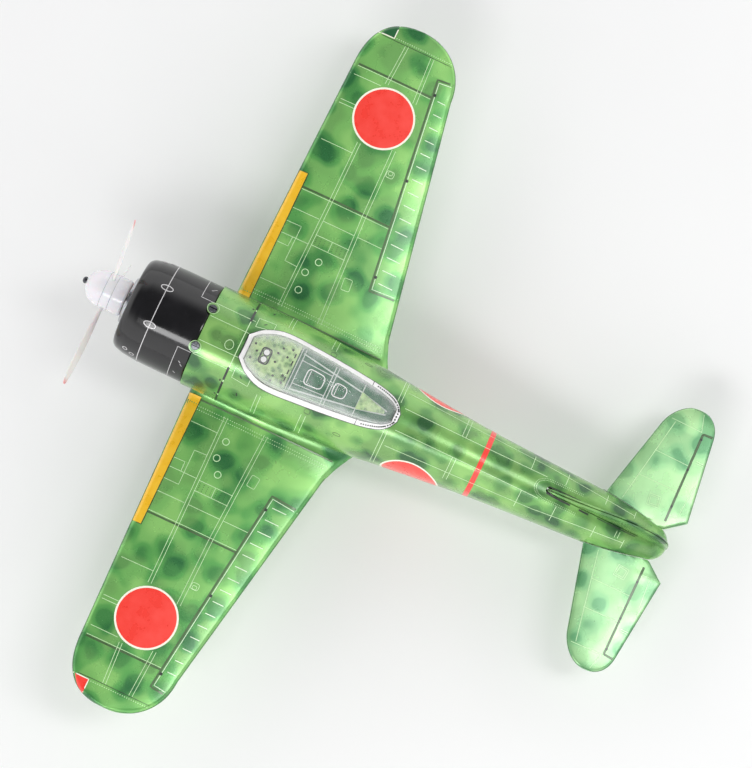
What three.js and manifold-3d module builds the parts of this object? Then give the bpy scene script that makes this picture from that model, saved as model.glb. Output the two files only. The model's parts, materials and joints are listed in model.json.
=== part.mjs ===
// Tinplate toy warbird: a low-wing fighter on a fixed undercarriage with a geared electric propeller drive.
// Millimetres. The plane is drawn level first: the nose points to -Y, the port wing to +X, up is +Z,
// Y = 0 is the spinner's tip and Z = 0 is the propeller's axis. It is then tipped back onto its tail wheel.
import * as THREE from 'three';
import { mergeVertices } from 'three/addons/utils/BufferGeometryUtils.js';
import Module from 'manifold-3d';

const wasm = await Module();
wasm.setup();

// ---- driving dimensions -------------------------------------------------------------------------
const GAP = 0.35;             // clearance between neighbouring pieces
const WALL = 1.0;             // pressed sheet, drawn thicker than real tinplate
const COWL_FRONT = 26;
const COWL_RADIUS = 26.2;
const NOSE_Y = 66;            // front edge of the fuselage shells
const TAIL_ROUND_Y = 313;     // where the round tail end starts
const TAIL_Y = 321.5;
const SEAM_Z = -12;           // level of the joint between the upper shell and the belly shell
const HALF_SPAN = 189.8;
const WING_ROOT_X = 27;        // side of the fuselage, where the wing's printed root line runs
const WING_Z = -15;
const DIHEDRAL = THREE.MathUtils.degToRad(5);
const WING_LE_Y = 71.3;       // leading edge at the root
const WING_LE_SWEEP = 0.0275;
const WING_TE_Y = 154.2;       // trailing edge at the root, before its fillet
const WING_TE_SWEEP = 0.186;
const CANOPY_FRONT = 88;
const CANOPY_REAR = 172.5;
const TAILPLANE_Z = 7;
const FIN_FRONT = 254.6;
const FIN_HALF_WIDTH = 1.35;
const PROP_Y = 14;            // middle of the propeller's hub
const PROP_RADIUS = 53;
const HUB_RADIUS = 9.6;
const BLADES = 3;
const PROP_REST = THREE.MathUtils.degToRad(-35);
const SHAFT_RADIUS = 1.5;
const GEAR_MODULE = 0.8;
const SHAFT_GEAR_TEETH = 20;
const PINION_TEETH = 8;
const GEAR_Y = 42;
const GEAR_WIDTH = 4;
const GEAR_PLATE_Y = 50;
const MOTOR_RADIUS = 10;
const MOTOR_LENGTH = 28;
const WHEEL_X = 52;
const WHEEL_Y = 90;
const WHEEL_Z = -44;
const WHEEL_RADIUS = 14;
const WHEEL_WIDTH = 8;
const HUB_WIDTH = 8.6;
const RIM_RADIUS = 8.6;
const AXLE_RADIUS = 1.4;
const TAIL_WHEEL_Y = 290;
const TAIL_WHEEL_Z = -24;
const TAIL_WHEEL_RADIUS = 6;
const LUG_ANGLE = THREE.MathUtils.degToRad(21.5);
const LUG_RADIUS = 3.2;
const LUG_Y = 66.2;
const SCREW_HEAD_RADIUS = 2.25;
const SCREW_SHANK_RADIUS = 1.1;
const HATCH_Y = [98, 158];
const HATCH_HALF_WIDTH = 10;
const HATCH_FACE_Z = -29.4;
const CELL_RADIUS = 7.1;         // standard AA cells
const CELL_LENGTH = 49;
const SWITCH_Y = 176;

// ---- colours ------------------------------------------------------------------------------------
const GREEN = { color: 0x6fbf5c, roughness: 0.3, metalness: 0.35 };
const BLACK = { color: 0x101012, roughness: 0.2, metalness: 0.2 };
const STEEL = { color: 0xb8bcc0, roughness: 0.3, metalness: 0.9 };
const BRASS = { color: 0xc9a34e, roughness: 0.35, metalness: 0.9 };
const PEARL = { color: 0xeeebee, roughness: 0.25, metalness: 0.1 };
const CLEAR = { color: 0xe8f2ee, roughness: 0.08, metalness: 0, transparent: true, opacity: 0.35 };
const RUBBER = { color: 0x1c1c1c, roughness: 0.8, metalness: 0 };
const PRINTED_TRAY = { color: 0x3d6f45, roughness: 0.35, metalness: 0.3 };
const PLASTIC = { color: 0x2d2f30, roughness: 0.5, metalness: 0 };
const CELL_JACKET = { color: 0xb4472e, roughness: 0.4, metalness: 0.2 };

// ---- solids -------------------------------------------------------------------------------------
function toSolid(geometry) {
  const bare = geometry.clone();
  bare.deleteAttribute('normal');
  bare.deleteAttribute('uv');
  const merged = mergeVertices(bare, 1e-4);
  const mesh = new wasm.Mesh({
    numProp: 3,
    vertProperties: merged.attributes.position.array,
    triVerts: new Uint32Array(merged.index.array),
  });
  return new wasm.Manifold(mesh);
}

function toGeometry(solid) {
  const mesh = solid.getMesh();
  const geometry = new THREE.BufferGeometry();
  geometry.setAttribute('position', new THREE.BufferAttribute(mesh.vertProperties, 3));
  geometry.setIndex(new THREE.BufferAttribute(mesh.triVerts, 1));
  return geometry;
}

function join(first, ...others) {
  return toGeometry(others.reduce((solid, other) => solid.add(toSolid(other)), toSolid(first)));
}

function cut(first, ...others) {
  return toGeometry(others.reduce((solid, other) => solid.subtract(toSolid(other)), toSolid(first)));
}

function common(first, second) {
  return toGeometry(toSolid(first).intersect(toSolid(second)));
}

// A closed skin through rings of points, with both ends capped. flatten gives a ring point's place in
// the plane that the end caps are triangulated in.
function loft(rings, flatten) {
  const count = rings[0].length;
  const faces = [];
  for (let r = 0; r + 1 < rings.length; r += 1) {
    for (let k = 0; k < count; k += 1) {
      const a = r * count + k;
      const b = r * count + ((k + 1) % count);
      faces.push([a, b, b + count], [a, b + count, a + count]);
    }
  }
  const cap = (ring, base, reversed) => {
    const flat = ring.map(flatten);
    const turn = Math.sign(THREE.ShapeUtils.area(flat));
    THREE.ShapeUtils.triangulateShape(flat, []).forEach(([i, j, k]) => {
      const same = Math.sign(THREE.ShapeUtils.area([flat[i], flat[j], flat[k]])) === turn;
      faces.push(same !== reversed ? [base + i, base + j, base + k] : [base + i, base + k, base + j]);
    });
  };
  cap(rings[0], 0, true);
  cap(rings[rings.length - 1], (rings.length - 1) * count, false);
  const points = rings.flat();
  const volume = faces.reduce((sum, [i, j, k]) => {
    return sum + points[i].dot(new THREE.Vector3().crossVectors(points[j], points[k]));
  }, 0);
  const outward = volume > 0 ? faces : faces.map(([i, j, k]) => [i, k, j]);
  const geometry = new THREE.BufferGeometry().setFromPoints(points);
  geometry.setIndex(outward.flat());
  return geometry;
}

const alongY = (point) => new THREE.Vector2(point.x, point.z);
const alongX = (point) => new THREE.Vector2(point.y, point.z);

// A smooth curve through a few hand-set stations, read at any place between them.
function curveThrough(stations) {
  const last = stations.length - 1;
  const slopes = stations.map((_, i) => {
    const [x0, v0] = stations[Math.max(i - 1, 0)];
    const [x1, v1] = stations[Math.min(i + 1, last)];
    return (v1 - v0) / (x1 - x0);
  });
  return (at) => {
    const x = THREE.MathUtils.clamp(at, stations[0][0], stations[last][0]);
    let i = 0;
    while (i < last - 1 && stations[i + 1][0] < x) i += 1;
    const [x0, v0] = stations[i];
    const [x1, v1] = stations[i + 1];
    const span = x1 - x0;
    const t = (x - x0) / span;
    const t2 = t * t;
    const t3 = t2 * t;
    return (2 * t3 - 3 * t2 + 1) * v0 + (t3 - 2 * t2 + t) * span * slopes[i]
      + (3 * t2 - 2 * t3) * v1 + (t3 - t2) * span * slopes[i + 1];
  };
}

function steps(from, to, count) {
  return Array.from({ length: count + 1 }, (_, i) => from + ((to - from) * i) / count);
}

const ringAngles = (count) => steps(0, 2 * Math.PI, count).slice(0, count);

function block(x0, x1, y0, y1, z0, z1) {
  const geometry = new THREE.BoxGeometry(x1 - x0, y1 - y0, z1 - z0);
  return geometry.translate((x0 + x1) / 2, (y0 + y1) / 2, (z0 + z1) / 2);
}

// A turned piece about the Y axis: its profile is a closed loop of [radius, y] pairs.
function turned(profile, segments = 24) {
  const loop = [...profile, profile[0]].map(([radius, y]) => new THREE.Vector2(radius, y));
  const geometry = new THREE.LatheGeometry(loop, segments);
  return toGeometry(orient(geometry));
}

function orient(geometry) {
  const solid = toSolid(geometry);
  if (solid.volume() > 0) return solid;
  const flipped = geometry.clone();
  const order = flipped.index.array;
  for (let i = 0; i < order.length; i += 3) [order[i + 1], order[i + 2]] = [order[i + 2], order[i + 1]];
  return toSolid(flipped);
}

const rod = (radius, y0, y1, segments = 16) => {
  const geometry = new THREE.CylinderGeometry(radius, radius, y1 - y0, segments);
  return geometry.translate(0, (y0 + y1) / 2, 0);
};
const toX = (geometry) => geometry.rotateZ(-Math.PI / 2);
const toZ = (geometry) => geometry.rotateX(Math.PI / 2);

// A flat sheet lying in the XY plane, from z0 up to z1.
function sheet(shape, z0, z1) {
  return new THREE.ExtrudeGeometry(shape, { depth: z1 - z0, bevelEnabled: false, curveSegments: 6 })
    .translate(0, 0, z0);
}

// ---- fuselage form ------------------------------------------------------------------------------
const halfWidth = curveThrough([[66, 26.9], [110, 26.8], [150, 24.4], [172, 21.9], [219, 17.5],
  [260, 15.2], [283, 13.9], [300, 11.6], [313, 8.8]]);
const topLine = curveThrough([[66, 26.9], [88, 27.2], [172, 26.2], [219, 24], [260, 22], [283, 20.4],
  [313, 17.6]]);
const bottomLine = curveThrough([[66, -26.9], [110, -28.6], [150, -28.4], [172, -26.4], [219, -19.4],
  [260, -12.4], [283, -8.4], [313, -1.6]]);

function fuselageRing(y, inset) {
  const past = Math.max(0, (y - TAIL_ROUND_Y) / (TAIL_Y - TAIL_ROUND_Y));
  const round = Math.sqrt(Math.max(0, 1 - past * past));
  const middle = (topLine(y) + bottomLine(y)) / 2;
  const across = Math.max(halfWidth(y) * round - inset, 0.5);
  const up = Math.max(((topLine(y) - bottomLine(y)) / 2) * round - inset, 0.5);
  return ringAngles(24).map((angle) => {
    const c = Math.cos(angle);
    const s = Math.sin(angle);
    const power = 2 / 2.15;
    return new THREE.Vector3(
      across * Math.sign(c) * Math.abs(c) ** power, y, middle + up * Math.sign(s) * Math.abs(s) ** power,
    );
  });
}

function fuselageForm(inset, from, to) {
  const stations = [from, 110, 140, 172, 195, 219, 240, 260, 283, 300, TAIL_ROUND_Y, 318, 320.4, to];
  return loft(stations.map((y) => fuselageRing(y, inset)), alongY);
}

// ---- canopy and cockpit outlines ----------------------------------------------------------------
const canopyHalfWidth = curveThrough([[88, 6.2], [94, 11.5], [104, 15.1], [122, 14.6], [154, 11.6],
  [165, 9.2], [170, 6], [172.5, 2]]);
const canopyRidge = curveThrough([[88, 1.4], [96, 9.5], [106, 15.2], [120, 16.6], [140, 14.2],
  [156, 9.2], [168, 3.6], [172.5, 1.2]]);

function cockpitOutline(inset) {
  const stations = steps(CANOPY_FRONT + inset, CANOPY_REAR - inset, 16);
  const side = stations.map((y) => new THREE.Vector2(Math.max(canopyHalfWidth(y) - inset, 0.8), y));
  const other = side.map((point) => new THREE.Vector2(-point.x, point.y)).reverse();
  return new THREE.Shape([...side, ...other]);
}

// ---- fuselage -----------------------------------------------------------------------------------
function lugPad(side, radius, low, high) {
  const pad = toZ(rod(radius, low, high, 20));
  return pad.rotateY(side * LUG_ANGLE).translate(0, LUG_Y, 0);
}

function fuselageShells() {
  const outside = fuselageForm(0, NOSE_Y, TAIL_Y - 0.1);
  const hollow = fuselageForm(WALL, NOSE_Y - 1, TAIL_Y - 1);
  const wall = cut(outside, hollow);
  const above = block(-60, 60, 50, 340, SEAM_Z + GAP / 2, 60);
  const below = block(-60, 60, 50, 340, -60, SEAM_Z - GAP / 2);
  const cockpit = sheet(cockpitOutline(2.4), 14, 50);
  const finSlot = block(-FIN_HALF_WIDTH - 0.6, FIN_HALF_WIDTH + 0.6, FIN_FRONT - 1, 306, 12, 40);
  const lugs = [1, -1].map((side) => lugPad(side, LUG_RADIUS, COWL_RADIUS + GAP, 27.3));
  const holes = [1, -1].map((side) => lugPad(side, SCREW_SHANK_RADIUS + GAP, 20, 40));
  const upper = cut(join(common(wall, above), ...lugs), cockpit, finSlot, ...holes);
  const hatchHole = block(-HATCH_HALF_WIDTH + 2, HATCH_HALF_WIDTH - 2, HATCH_Y[0] + 2, HATCH_Y[1] - 2,
    -40, SEAM_Z - 3);
  const hatchSeat = block(-HATCH_HALF_WIDTH - GAP, HATCH_HALF_WIDTH + GAP, HATCH_Y[0] - GAP,
    HATCH_Y[1] + GAP, -40, HATCH_FACE_Z + 1.6 + GAP);
  const switchSlot = block(-1.8, 1.8, SWITCH_Y - 4.4, SWITCH_Y + 4.4, -40, -18);
  const belly = cut(common(wall, below), hatchHole, hatchSeat, switchSlot);
  return { upper, belly };
}

function canopyShell() {
  const arc = (y, inset) => steps(0, Math.PI, 10).map((angle) => new THREE.Vector3(
    Math.max(canopyHalfWidth(y) - inset, 0.6) * Math.cos(angle), y,
    topLine(y) + GAP - 0.6 * Math.abs(Math.cos(angle))
      + Math.max(canopyRidge(y) - inset, 0) * Math.sin(angle),
  ));
  const stations = steps(CANOPY_FRONT, CANOPY_REAR, 12);
  const rings = stations.map((y) => [...arc(y, 0), ...arc(y, WALL).reverse()]);
  return cut(loft(rings, alongY), fuselageForm(-GAP, NOSE_Y, TAIL_Y - 0.1));
}

function cockpitTray() {
  const tub = sheet(cockpitOutline(3), 12, 23);
  const inside = sheet(cockpitOutline(4), 13, 30);
  return cut(tub, inside);
}

function lugScrew(side) {
  const head = rod(SCREW_HEAD_RADIUS, 27.6, 28.7, 20);
  const shank = rod(SCREW_SHANK_RADIUS, 24, 27.8, 12);
  return toZ(join(head, shank)).rotateY(side * LUG_ANGLE).translate(0, LUG_Y, 0);
}

// ---- nose ---------------------------------------------------------------------------------------
function engineCowl() {
  const r = COWL_RADIUS;
  const outside = [[7.6, COWL_FRONT + 1.5], [19, COWL_FRONT], [22.4, COWL_FRONT + 0.7],
    [24.2, COWL_FRONT + 2.8], [25.3, COWL_FRONT + 7.5], [r - 0.2, COWL_FRONT + 14], [r, COWL_FRONT + 20],
    [r, NOSE_Y - 3], [r - 0.9, NOSE_Y - 2.4], [r - 0.9, NOSE_Y + 4]];
  const inside = [[r - 2.1, NOSE_Y + 4], [r - 1.4, COWL_FRONT + 20], [r - 1.5, COWL_FRONT + 14.2],
    [24.1, COWL_FRONT + 7.8], [23.1, COWL_FRONT + 3.6], [21.8, COWL_FRONT + 2.1], [18.6, COWL_FRONT + 1.4],
    [7.6, COWL_FRONT + 2.9]];
  const shell = turned([...outside, ...inside], 32);
  return cut(shell, ...[1, -1].map((side) => lugPad(side, SCREW_SHANK_RADIUS + GAP, 20, 40)));
}

const noseRing = () => turned([[8.2, 24.2], [11.6, 24.2], [12.4, 25], [12.4, 26.2], [8.2, 26.6]], 24);

const noseBearing = () => turned([[SHAFT_RADIUS + GAP, 24.6], [5.2, 24.6], [5.2, 29.5], [12, 29.5], [12, 31],
  [5.2, 31], [5.2, 37], [SHAFT_RADIUS + GAP, 37]], 18);

const spinnerNose = () => turned([[1.3, 1.6], [2.6, 1.7], [5, 3.4], [7.3, 6.2], [8.7, 8.8],
  [HUB_RADIUS, 11.6], [1.3, 11.6]], 24);

const spinnerCollar = () => turned([[SHAFT_RADIUS + GAP, PROP_Y + 2.7], [HUB_RADIUS, PROP_Y + 2.7],
  [HUB_RADIUS, 22.6], [9, 23.6], [SHAFT_RADIUS + GAP, 23.6]], 24);

const spinnerPin = () => turned([[0, -0.6], [1.2, -0.3], [1.8, 0.5], [1.8, 1.3], [0.95, 1.3], [0.95, 9],
  [0, 9]], 16);

// One blade stands up the Z axis from the hub, thin and twisted, with a round tip.
function blade() {
  const chord = curveThrough([[7, 3.2], [14, 4.2], [28, 8.4], [42, 8.8], [50, 6.4], [PROP_RADIUS, 2]]);
  const twist = curveThrough([[7, 1.05], [25, 0.72], [PROP_RADIUS, 0.42]]);
  const rings = [7, 12, 20, 30, 40, 47, 51, PROP_RADIUS].map((radius) => {
    const half = chord(radius) / 2;
    const thick = 0.55 + 0.35 * (1 - radius / PROP_RADIUS);
    const turn = twist(radius);
    return ringAngles(8).map((angle) => {
      const along = half * Math.cos(angle);
      const across = thick * Math.sin(angle);
      return new THREE.Vector3(
        along * Math.cos(turn) - across * Math.sin(turn),
        PROP_Y + along * Math.sin(turn) * 0.55 + across * Math.cos(turn),
        radius,
      );
    });
  });
  return loft(rings, (point) => new THREE.Vector2(point.x, point.y));
}

function propeller() {
  const hub = turned([[SHAFT_RADIUS + GAP, 11.9], [HUB_RADIUS, 11.9], [HUB_RADIUS, PROP_Y + 2.4],
    [SHAFT_RADIUS + GAP, PROP_Y + 2.4]], 24);
  const blades = ringAngles(BLADES).map((angle) => blade().rotateY(PROP_REST + angle));
  return join(hub, ...blades);
}

// toothUp puts a tooth, not a gap, at the start of the outline, so that two gears mesh.
function gear(teeth, bore, toothUp) {
  const pitchRadius = (GEAR_MODULE * teeth) / 2;
  const toothPitch = (2 * Math.PI) / teeth;
  const outline = [];
  for (let k = 0; k < teeth; k += 1) {
    const middle = k * toothPitch + (toothUp ? 0 : toothPitch / 2);
    const corners = [[-0.3, -1.1], [-0.1, 0.7], [0.1, 0.7], [0.3, -1.1]];
    corners.forEach(([part, height]) => {
      const angle = middle + part * toothPitch;
      const radius = pitchRadius + height * GEAR_MODULE;
      outline.push(new THREE.Vector2(radius * Math.cos(angle), radius * Math.sin(angle)));
    });
  }
  const shape = new THREE.Shape(outline);
  shape.holes.push(new THREE.Path().absarc(0, 0, bore, 0, 2 * Math.PI, true));
  return sheet(shape, 0, GEAR_WIDTH).rotateX(-Math.PI / 2).translate(0, GEAR_Y, 0);
}

const CENTRE_DISTANCE = (GEAR_MODULE * (SHAFT_GEAR_TEETH + PINION_TEETH)) / 2 + 0.3;

function gearPlate() {
  const plate = rod(23.4, GEAR_PLATE_Y, GEAR_PLATE_Y + 1.6, 28);
  const shaftHole = rod(SHAFT_RADIUS + GAP, 40, 60);
  const motorHole = rod(4, 40, 60).translate(0, 0, -CENTRE_DISTANCE);
  return cut(plate, shaftHole, motorHole);
}

const motorCan = () => turned([[1.2, 52.6], [3.6, 52.6], [3.6, 53.6], [MOTOR_RADIUS, 53.6],
  [MOTOR_RADIUS, 52 + MOTOR_LENGTH], [1.2, 52 + MOTOR_LENGTH]], 20);

function motorClamp() {
  const ring = turned([[MOTOR_RADIUS + GAP, 62], [MOTOR_RADIUS + 1.6, 62], [MOTOR_RADIUS + 1.6, 70],
    [MOTOR_RADIUS + GAP, 70]], 20);
  const arms = [1, -1].map((side) => block(side > 0 ? 11 : -19, side > 0 ? 19 : -11, 63, 69, -1, 0.4));
  return join(ring, ...arms);
}

// ---- wing ---------------------------------------------------------------------------------------
const TIP_MIDDLE_Y = 102;
const rootFillet = (x) => THREE.MathUtils.clamp(1 - (x - WING_ROOT_X) / 14, 0, 1) ** 2;

function leadingEdge(x) {
  const start = 160;
  const straight = WING_LE_Y + (x - WING_ROOT_X) * WING_LE_SWEEP;
  if (x <= start) return straight;
  const t = (x - start) / (HALF_SPAN - start);
  return TIP_MIDDLE_Y - (TIP_MIDDLE_Y - straight) * Math.max(0, 1 - t ** 2.6) ** (1 / 2.6);
}

function trailingEdge(x) {
  const start = 163;
  const straight = WING_TE_Y - (Math.min(x, start) - WING_ROOT_X) * WING_TE_SWEEP;
  if (x <= start) return straight + 6 * rootFillet(x);
  const t = (x - start) / (HALF_SPAN - start);
  const edge = straight - (x - start) * 0.05;
  return TIP_MIDDLE_Y + (edge - TIP_MIDDLE_Y) * Math.sqrt(Math.max(0, 1 - t ** 2.2));
}

const wingMiddleZ = (x) => WING_Z + Math.tan(DIHEDRAL) * (x - WING_ROOT_X);
const wingDepth = (x) => 5.2 - 2.6 * ((x - WING_ROOT_X) / (HALF_SPAN - WING_ROOT_X));

// side is 1 for the top skin and -1 for the underside skin.
function wingSkin(side) {
  const spans = [19, WING_ROOT_X, 34, 42, 60, 110, 160, 170, 178, 184, HALF_SPAN - 0.6];
  const chordParts = [0, 0.04, 0.12, 0.25, 0.4, 0.6, 0.8, 0.94, 1];
  const rings = spans.map((x) => {
    const front = leadingEdge(x);
    const rear = trailingEdge(x);
    const swell = (part) => Math.sqrt(Math.max(0, Math.sin(Math.PI * part ** 0.7)));
    const crown = (part) => 1.3 + (wingDepth(x) - 1.3) * swell(part);
    const level = (part, height) => new THREE.Vector3(
      x, front + (rear - front) * part, wingMiddleZ(x) + side * height,
    );
    const outer = chordParts.map((part) => level(part, crown(part)));
    const inner = chordParts.map((part) => level(part, Math.max(crown(part) - WALL, GAP / 2)));
    return [...outer, ...inner.reverse()];
  });
  return cut(loft(rings, alongX), fuselageForm(-GAP, NOSE_Y, TAIL_Y - 0.1));
}

// ---- tail ---------------------------------------------------------------------------------------
function tailplane() {
  const outline = new THREE.Shape();
  outline.moveTo(6, 280.5);
  outline.lineTo(58, 293.5);
  outline.bezierCurveTo(66.4, 295.6, 71.9, 301.6, 71.6, 309);
  outline.bezierCurveTo(71.3, 315, 68.2, 319.6, 63, 320.8);
  outline.lineTo(16.5, 326.4);
  outline.lineTo(7.6, 315);
  outline.closePath();
  return cut(sheet(outline, TAILPLANE_Z - 1.1, TAILPLANE_Z + 1.1), fuselageForm(-GAP, NOSE_Y, TAIL_Y - 0.1));
}

function finHalf(side) {
  const outline = new THREE.Shape();
  outline.moveTo(FIN_FRONT, 18);
  outline.lineTo(FIN_FRONT, 22.6);
  outline.bezierCurveTo(264, 23.4, 272, 27.5, 280, 31.5);
  outline.bezierCurveTo(287, 35, 293, 41, 301, 41);
  outline.bezierCurveTo(309, 41, 315.5, 36.5, 318.6, 29);
  outline.bezierCurveTo(320.4, 25, 321.4, 19, 321.5, 12);
  outline.lineTo(315, 10);
  outline.closePath();
  const plate = sheet(outline, GAP / 2, FIN_HALF_WIDTH).rotateX(Math.PI / 2).rotateZ(Math.PI / 2);
  if (side < 0) plate.translate(-FIN_HALF_WIDTH - GAP / 2, 0, 0);
  const slot = block(-FIN_HALF_WIDTH - 0.3, FIN_HALF_WIDTH + 0.3, FIN_FRONT - 0.6, 305.6, 12, 60);
  const cover = cut(fuselageForm(-GAP, NOSE_Y, TAIL_Y - 0.1), slot);
  return cut(plate, cover);
}

// ---- undercarriage ------------------------------------------------------------------------------
const LEG_X = WHEEL_X + WHEEL_WIDTH / 2 + 4;

function undercarriageLeg() {
  const top = wingMiddleZ(LEG_X) - 6.2;
  const strut = toZ(rod(1.7, WHEEL_Z - 1, top, 14)).translate(LEG_X, WHEEL_Y, 0);
  const foot = block(LEG_X - 5, LEG_X + 4, WHEEL_Y - 6, WHEEL_Y + 6, top - 1, top + 0.2);
  const boss = toX(rod(3.2, LEG_X - 2.2, LEG_X + 1.9, 18)).translate(0, WHEEL_Y, WHEEL_Z);
  const bore = toX(rod(AXLE_RADIUS + GAP, LEG_X - 10, LEG_X + 10, 16)).translate(0, WHEEL_Y, WHEEL_Z);
  return cut(join(strut, foot, boss), bore);
}

function legDoor() {
  const outline = new THREE.Shape();
  const top = wingMiddleZ(LEG_X) - 7;
  outline.moveTo(WHEEL_Y - 8, top);
  outline.lineTo(WHEEL_Y + 8, top);
  outline.lineTo(WHEEL_Y + 6.5, WHEEL_Z + 1);
  outline.quadraticCurveTo(WHEEL_Y, WHEEL_Z - 5, WHEEL_Y - 6.5, WHEEL_Z + 1);
  outline.closePath();
  return sheet(outline, LEG_X + 4.6, LEG_X + 5.6).rotateX(Math.PI / 2).rotateZ(Math.PI / 2);
}

// Turned pieces of a wheel are drawn about the Y axis, centred on Y = 0, then laid along X.
const tyre = () => toX(turned([[RIM_RADIUS + GAP, -3.4], [10.6, -WHEEL_WIDTH / 2], [12.8, -3.3],
  [WHEEL_RADIUS, -1.2], [WHEEL_RADIUS, 1.2], [12.8, 3.3], [10.6, WHEEL_WIDTH / 2],
  [RIM_RADIUS + GAP, 3.4]], 30));

const wheelHub = () => toX(turned([[AXLE_RADIUS + GAP, -HUB_WIDTH / 2], [3.2, -HUB_WIDTH / 2], [3.6, -2.8],
  [RIM_RADIUS, -3.2], [RIM_RADIUS, 3.2], [3.6, 2.8], [3.2, HUB_WIDTH / 2],
  [AXLE_RADIUS + GAP, HUB_WIDTH / 2]]));

function wheelAxle() {
  const inner = -HUB_WIDTH / 2 - GAP;
  const pin = toX(rod(AXLE_RADIUS, inner - 0.6, LEG_X - WHEEL_X + 2.6, 16));
  const head = toX(rod(2.6, inner - 1.2, inner, 16));
  const nut = toX(rod(2.6, LEG_X - WHEEL_X + 2.25, LEG_X - WHEEL_X + 3.6, 6));
  return join(pin, head, nut);
}

function tailFork() {
  const top = bottomLine(TAIL_WHEEL_Y) - GAP;
  const stem = toZ(rod(2.2, TAIL_WHEEL_Z + 7.6, top - 0.2, 14)).translate(0, TAIL_WHEEL_Y, 0);
  const crown = block(-4, 4, TAIL_WHEEL_Y - 3, TAIL_WHEEL_Y + 3, TAIL_WHEEL_Z + 6.8, TAIL_WHEEL_Z + 8);
  const arms = [1, -1].map((side) => block(side > 0 ? 2.8 : -4, side > 0 ? 4 : -2.8, TAIL_WHEEL_Y - 2.4,
    TAIL_WHEEL_Y + 2.4, TAIL_WHEEL_Z - 2.4, TAIL_WHEEL_Z + 7));
  const bore = toX(rod(1 + GAP, -8, 8, 14)).translate(0, TAIL_WHEEL_Y, TAIL_WHEEL_Z);
  return cut(join(stem, crown, ...arms), bore, fuselageForm(-GAP, NOSE_Y, TAIL_Y - 0.1));
}

const tailWheel = () => toX(turned([[1 + GAP, -2], [4.6, -2], [TAIL_WHEEL_RADIUS, -1], [TAIL_WHEEL_RADIUS, 1],
  [4.6, 2], [1 + GAP, 2]]));

const tailAxle = () => join(toX(rod(1, -5, 5, 14)), toX(rod(1.7, -5.4, -4.35, 14)),
  toX(rod(1.7, 4.35, 5.4, 14)));

// ---- belly: battery box, hatch and switch ---------------------------------------------------------
const CELL_Z = -17;

function batteryBox() {
  const outer = block(-16, 16, HATCH_Y[0] + 1, HATCH_Y[1] - 1, CELL_Z - 0.5, CELL_Z + 8.6);
  const inner = block(-15, 15, HATCH_Y[0] + 2, HATCH_Y[1] - 2, CELL_Z - 2, CELL_Z + 7.5);
  return cut(outer, inner);
}

const batteryCell = (side) => join(
  rod(CELL_RADIUS, 103, 103 + CELL_LENGTH, 20), rod(2.7, 102.5 + CELL_LENGTH, 104.2 + CELL_LENGTH, 12),
).translate(side * (CELL_RADIUS + 0.25), 0, CELL_Z);

function bellyHatch() {
  const plate = block(-HATCH_HALF_WIDTH, HATCH_HALF_WIDTH, HATCH_Y[0], HATCH_Y[1], HATCH_FACE_Z,
    HATCH_FACE_Z + 1.6);
  const bore = toZ(rod(SCREW_SHANK_RADIUS + GAP, -40, 0, 12)).translate(0, HATCH_Y[1] - 5, 0);
  return cut(plate, bore);
}

function hatchScrew() {
  const head = rod(SCREW_HEAD_RADIUS, HATCH_FACE_Z - 1.4, HATCH_FACE_Z - GAP, 18);
  const shank = rod(SCREW_SHANK_RADIUS, HATCH_FACE_Z - 0.5, HATCH_FACE_Z + 6, 12);
  return toZ(join(head, shank)).translate(0, HATCH_Y[1] - 5, 0);
}

function switchSlider() {
  const bottom = bottomLine(SWITCH_Y);
  const knob = block(-1.4, 1.4, SWITCH_Y - 4, SWITCH_Y, bottom - 2.4, bottom + 3.4);
  const shoe = block(-4, 4, SWITCH_Y - 7, SWITCH_Y + 3, bottom + 2.6, bottom + 4.2);
  return join(knob, shoe);
}

// ---- assembly -----------------------------------------------------------------------------------
const plane = new THREE.Group();

function add(name, geometry, look, parent = plane) {
  const mesh = new THREE.Mesh(geometry, new THREE.MeshStandardMaterial(look));
  mesh.name = name;
  parent.add(mesh);
  return mesh;
}

function placed(x, y, z) {
  const group = new THREE.Group();
  group.position.set(x, y, z);
  plane.add(group);
  return group;
}

const mirrored = (geometry) => {
  const other = geometry.clone().scale(-1, 1, 1);
  const order = other.index ? other.index.array : null;
  if (!order) return toGeometry(orient(mergeVertices(other)));
  for (let i = 0; i < order.length; i += 3) [order[i + 1], order[i + 2]] = [order[i + 2], order[i + 1]];
  return other;
};

const shells = fuselageShells();
add('fuselage_upper_shell', shells.upper, GREEN);
add('belly_shell', shells.belly, GREEN);
add('engine_cowl', engineCowl(), BLACK);
add('nose_ring', noseRing(), STEEL);
add('nose_bearing', noseBearing(), BRASS);
add('canopy', canopyShell(), CLEAR);
add('cockpit_tray', cockpitTray(), PRINTED_TRAY);

add('spinner_nose', spinnerNose(), PEARL);
add('spinner_collar', spinnerCollar(), PEARL);
add('spinner_pin', spinnerPin(), STEEL);
add('propeller', propeller(), PEARL);
add('propeller_shaft', rod(SHAFT_RADIUS, 12.2, GEAR_PLATE_Y + 4, 16), STEEL);
add('shaft_gear', gear(SHAFT_GEAR_TEETH, SHAFT_RADIUS + GAP, true), BRASS);
add('gear_plate', gearPlate(), STEEL);

const motor = placed(0, 0, -CENTRE_DISTANCE);
add('motor_pinion', gear(PINION_TEETH, 0.8 + 0.2, false), BRASS, motor);
add('motor_shaft', rod(0.8, GEAR_Y - 1, 76, 12), STEEL, motor);
add('motor_can', motorCan(), STEEL, motor);
add('motor_clamp', motorClamp(), STEEL, motor);

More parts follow.
